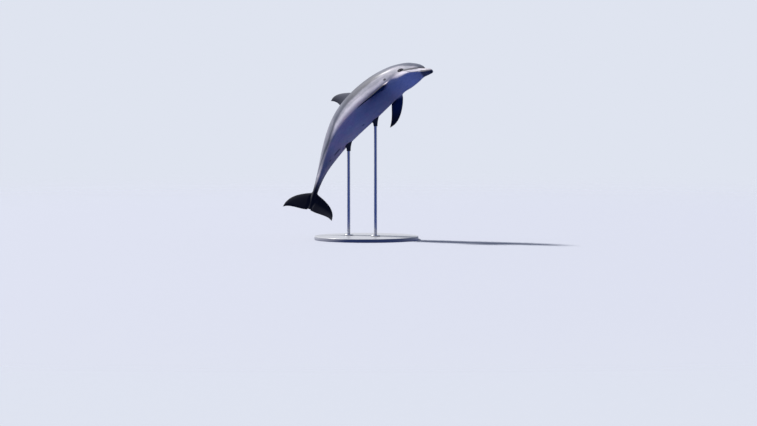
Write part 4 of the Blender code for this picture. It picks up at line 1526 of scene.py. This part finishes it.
class DolphinCoatSettings(bpy.types.PropertyGroup):
    """Colours and gloss of the skin and the eyes."""
    cape: colour_prop("Cape", "The dark back", (0.060, 0.066, 0.088))
    flank: colour_prop("Flank", "The grey sides", (0.200, 0.205, 0.235))
    # The pale band is partly the skin's own pale stripe and partly painted light along the lit side and the
    # cheeks.
    band: colour_prop("Pale band", "The light stripe over the belly and the cheeks", (0.60, 0.57, 0.60))
    belly: colour_prop("Belly", "The pale underside", (0.50, 0.47, 0.49))
    flush: colour_prop("Flush", "Pinkish clouds of the underside", (0.52, 0.40, 0.44))
    # The fins' colour is darker than their own dark grey: painted shade. The eye patch and the back of the
    # tail stock take it too.
    fin: colour_prop("Fins", "Flippers, flukes and the patch round the eye", (0.007, 0.008, 0.015))
    # Under the flippers: their paler underside, tinted blue as painted light from below.
    underside_tone_and_blue_light: colour_prop("Under flippers", "Slate blue under the flippers' roots", (0.009, 0.028, 0.088))
    # Dark marks: the bridle, the scar and the flecks, and also painted shade in the crease, along the mouth,
    # under the beak, on the back and in the openings.
    dark: colour_prop("Dark marks", "Lips, saddle, scar and the line before the eye", (0.022, 0.023, 0.030))
    scar: colour_prop("Scratches", "Healed scratches of other animals' teeth", (0.52, 0.50, 0.50))
    iris: colour_prop("Iris", "Lighter fibres of the iris", (0.070, 0.032, 0.014))
    iris_dark: colour_prop("Iris rim", "Darker fibres and rim of the iris", (0.018, 0.010, 0.008))
    pupil: colour_prop("Pupil", "The nearly black pupil", (0.004, 0.004, 0.005))
    white: colour_prop("Eye white", "The eyeball beyond the iris", (0.26, 0.24, 0.25))
    roughness: share_prop("Skin roughness", "Roughness of the skin itself", 0.60)
    wetness: share_prop("Wetness", "Weight of the film of water", 0.06)


class DolphinStandSettings(bpy.types.PropertyGroup):
    """Sizes and finishes of the display stand."""
    board_edge: size_prop("Board edge", "Radius of the board's rounded rims", 0.006)
    collar_edge: size_prop("Collar edge", "Radius of the collars' rounded rims", 0.003)
    cup_edge: size_prop("Cup edge", "Radius of the rubber cups' rims", 0.0022)
    board: colour_prop("Board", "Lacquered board", (0.215, 0.22, 0.235))
    board_dark: colour_prop("Board shade", "Darker clouds in the lacquer", (0.185, 0.19, 0.205))
    steel: colour_prop("Steel", "Satin steel", (0.60, 0.61, 0.63))
    steel_dark: colour_prop("Steel shade", "Darker brush marks", (0.45, 0.46, 0.48))
    rubber: colour_prop("Rubber", "Moulded rubber", (0.022, 0.022, 0.023))
    rubber_dust: colour_prop("Rubber dust", "Paler dust in the rubber's grain", (0.060, 0.058, 0.056))
    board_roughness: share_prop("Board roughness", "Roughness of the lacquer", 0.42)


class DolphinStageSettings(bpy.types.PropertyGroup):
    """Floor, studio light and camera."""
    floor: colour_prop("Floor", "Plain floor", (0.250, 0.262, 0.300))
    sky: colour_prop("Backdrop", "Light from behind, and what the camera sees", (0.738, 0.776, 0.871))
    front: colour_prop("Front light", "Light from the camera's side", (0.066, 0.106, 0.335))
    zenith: colour_prop("Top light", "Light from straight above", (0.22, 0.30, 0.52))
    below: colour_prop("Light from below", "Light that comes up from under the animal", (0.044, 0.088, 0.375))
    sun_colour: colour_prop("Key colour", "Colour of the key light", (1.0, 0.97, 0.93))
    sun_strength: FloatProperty(
        name="Key strength", description="Strength of the key light", default=10.0, min=0.0
    )
    sun_size: FloatProperty(
        name="Key size", description="Angle that the key light fills", default=math.radians(6),
        subtype="ANGLE",
    )
    sun_from: FloatVectorProperty(
        name="Key direction", description="Where the key light comes from", default=(-0.59, 0.26, 0.76),
        subtype="XYZ",
    )
    lens: FloatProperty(name="Lens", description="Focal length", default=123.84, unit="CAMERA")
    camera_place: FloatVectorProperty(
        name="Camera place", description="Where the camera stands", default=(0.1395, -30.0, 1.9),
        subtype="TRANSLATION", unit="LENGTH",
    )
    camera_dip: FloatProperty(
        name="Camera dip", description="How far the camera looks down", default=math.radians(3.042),
        subtype="ANGLE",
    )


# ---------------------------------------------------------------- operators

class DOLPHIN_OT_skin(bpy.types.Operator):
    """Builds the closed skin over the whole animal"""
    bl_idname = "dolphin.skin"
    bl_label = "Skin"

    def execute(self, context):
        mesh = make_skin_mesh(context.scene.dolphin_body)
        material = skin_material(context.scene.dolphin_coat)
        add_piece("skin", mesh, material, SKIN_NODES)
        return {"FINISHED"}


class DOLPHIN_OT_eyes(bpy.types.Operator):
    """Builds both eyeballs"""
    bl_idname = "dolphin.eyes"
    bl_label = "Eyes"

    def execute(self, context):
        material = eye_material(context.scene.dolphin_coat)
        for side, name in ((1, "left"), (-1, "right")):
            add_piece(f"eyeball_{name}", make_eyeball_mesh(side), material, (f"eye_{name}",))
        return {"FINISHED"}


class DOLPHIN_OT_stand(bpy.types.Operator):
    """Builds the board, and a rod, a collar and a rubber cup at each end"""
    bl_idname = "dolphin.stand"
    bl_label = "Stand"

    def execute(self, context):
        look = context.scene.dolphin_stand
        board, steel, rubber = board_material(look), steel_material(look), rubber_material(look)
        low, high, _, radius = node_rim("stand_base")
        profile = rounded(low, high, radius, look.board_edge)
        disc = capped_mesh("board", revolved(profile, (0, 0), BOARD_SIDES))
        add_piece("stand_board", disc, board, ("stand_base",))
        for end in ENDS:
            add_support(end, look, steel, rubber)
        return {"FINISHED"}


class DOLPHIN_OT_stage(bpy.types.Operator):
    """Sets the floor, the studio light and the camera"""
    bl_idname = "dolphin.stage"
    bl_label = "Stage"

    def execute(self, context):
        look = context.scene.dolphin_stage
        make_world(look)
        add_floor(look)
        add_sun(look)
        add_camera(look)
        context.scene.view_settings.view_transform = "Standard"
        return {"FINISHED"}


OPERATORS = (DOLPHIN_OT_skin, DOLPHIN_OT_eyes, DOLPHIN_OT_stand, DOLPHIN_OT_stage)
SETTINGS = {
    "dolphin_body": DolphinBodySettings,
    "dolphin_coat": DolphinCoatSettings,
    "dolphin_stand": DolphinStandSettings,
    "dolphin_stage": DolphinStageSettings,
}


class DOLPHIN_PT_panel(bpy.types.Panel):
    """Lists the settings and the operators"""
    bl_idname = "DOLPHIN_PT_panel"
    bl_label = "Dolphin"
    bl_space_type = "VIEW_3D"
    bl_region_type = "UI"
    bl_category = "Dolphin"

    def draw(self, context):
        """One box for each group of settings, with its operator."""
        for (name, group), operator in zip(SETTINGS.items(), OPERATORS):
            box = self.layout.box()
            for setting in group.__annotations__:
                box.prop(getattr(context.scene, name), setting)
            box.operator(operator.bl_idname)


CLASSES = (*SETTINGS.values(), *OPERATORS, DOLPHIN_PT_panel)


def register():
    """Registers the classes and hangs the settings on the scene."""
    for made in CLASSES:
        bpy.utils.register_class(made)
    for name, group in SETTINGS.items():
        setattr(bpy.types.Scene, name, PointerProperty(type=group))


def unregister():
    """Takes the settings and the classes away again."""
    for name in SETTINGS:
        delattr(bpy.types.Scene, name)
    for made in reversed(CLASSES):
        bpy.utils.unregister_class(made)


def main():
    """Builds every piece and the stage."""
    register()
    for run in (bpy.ops.dolphin.skin, bpy.ops.dolphin.eyes, bpy.ops.dolphin.stand, bpy.ops.dolphin.stage):
        run()


if __name__ == "__main__":
    main()
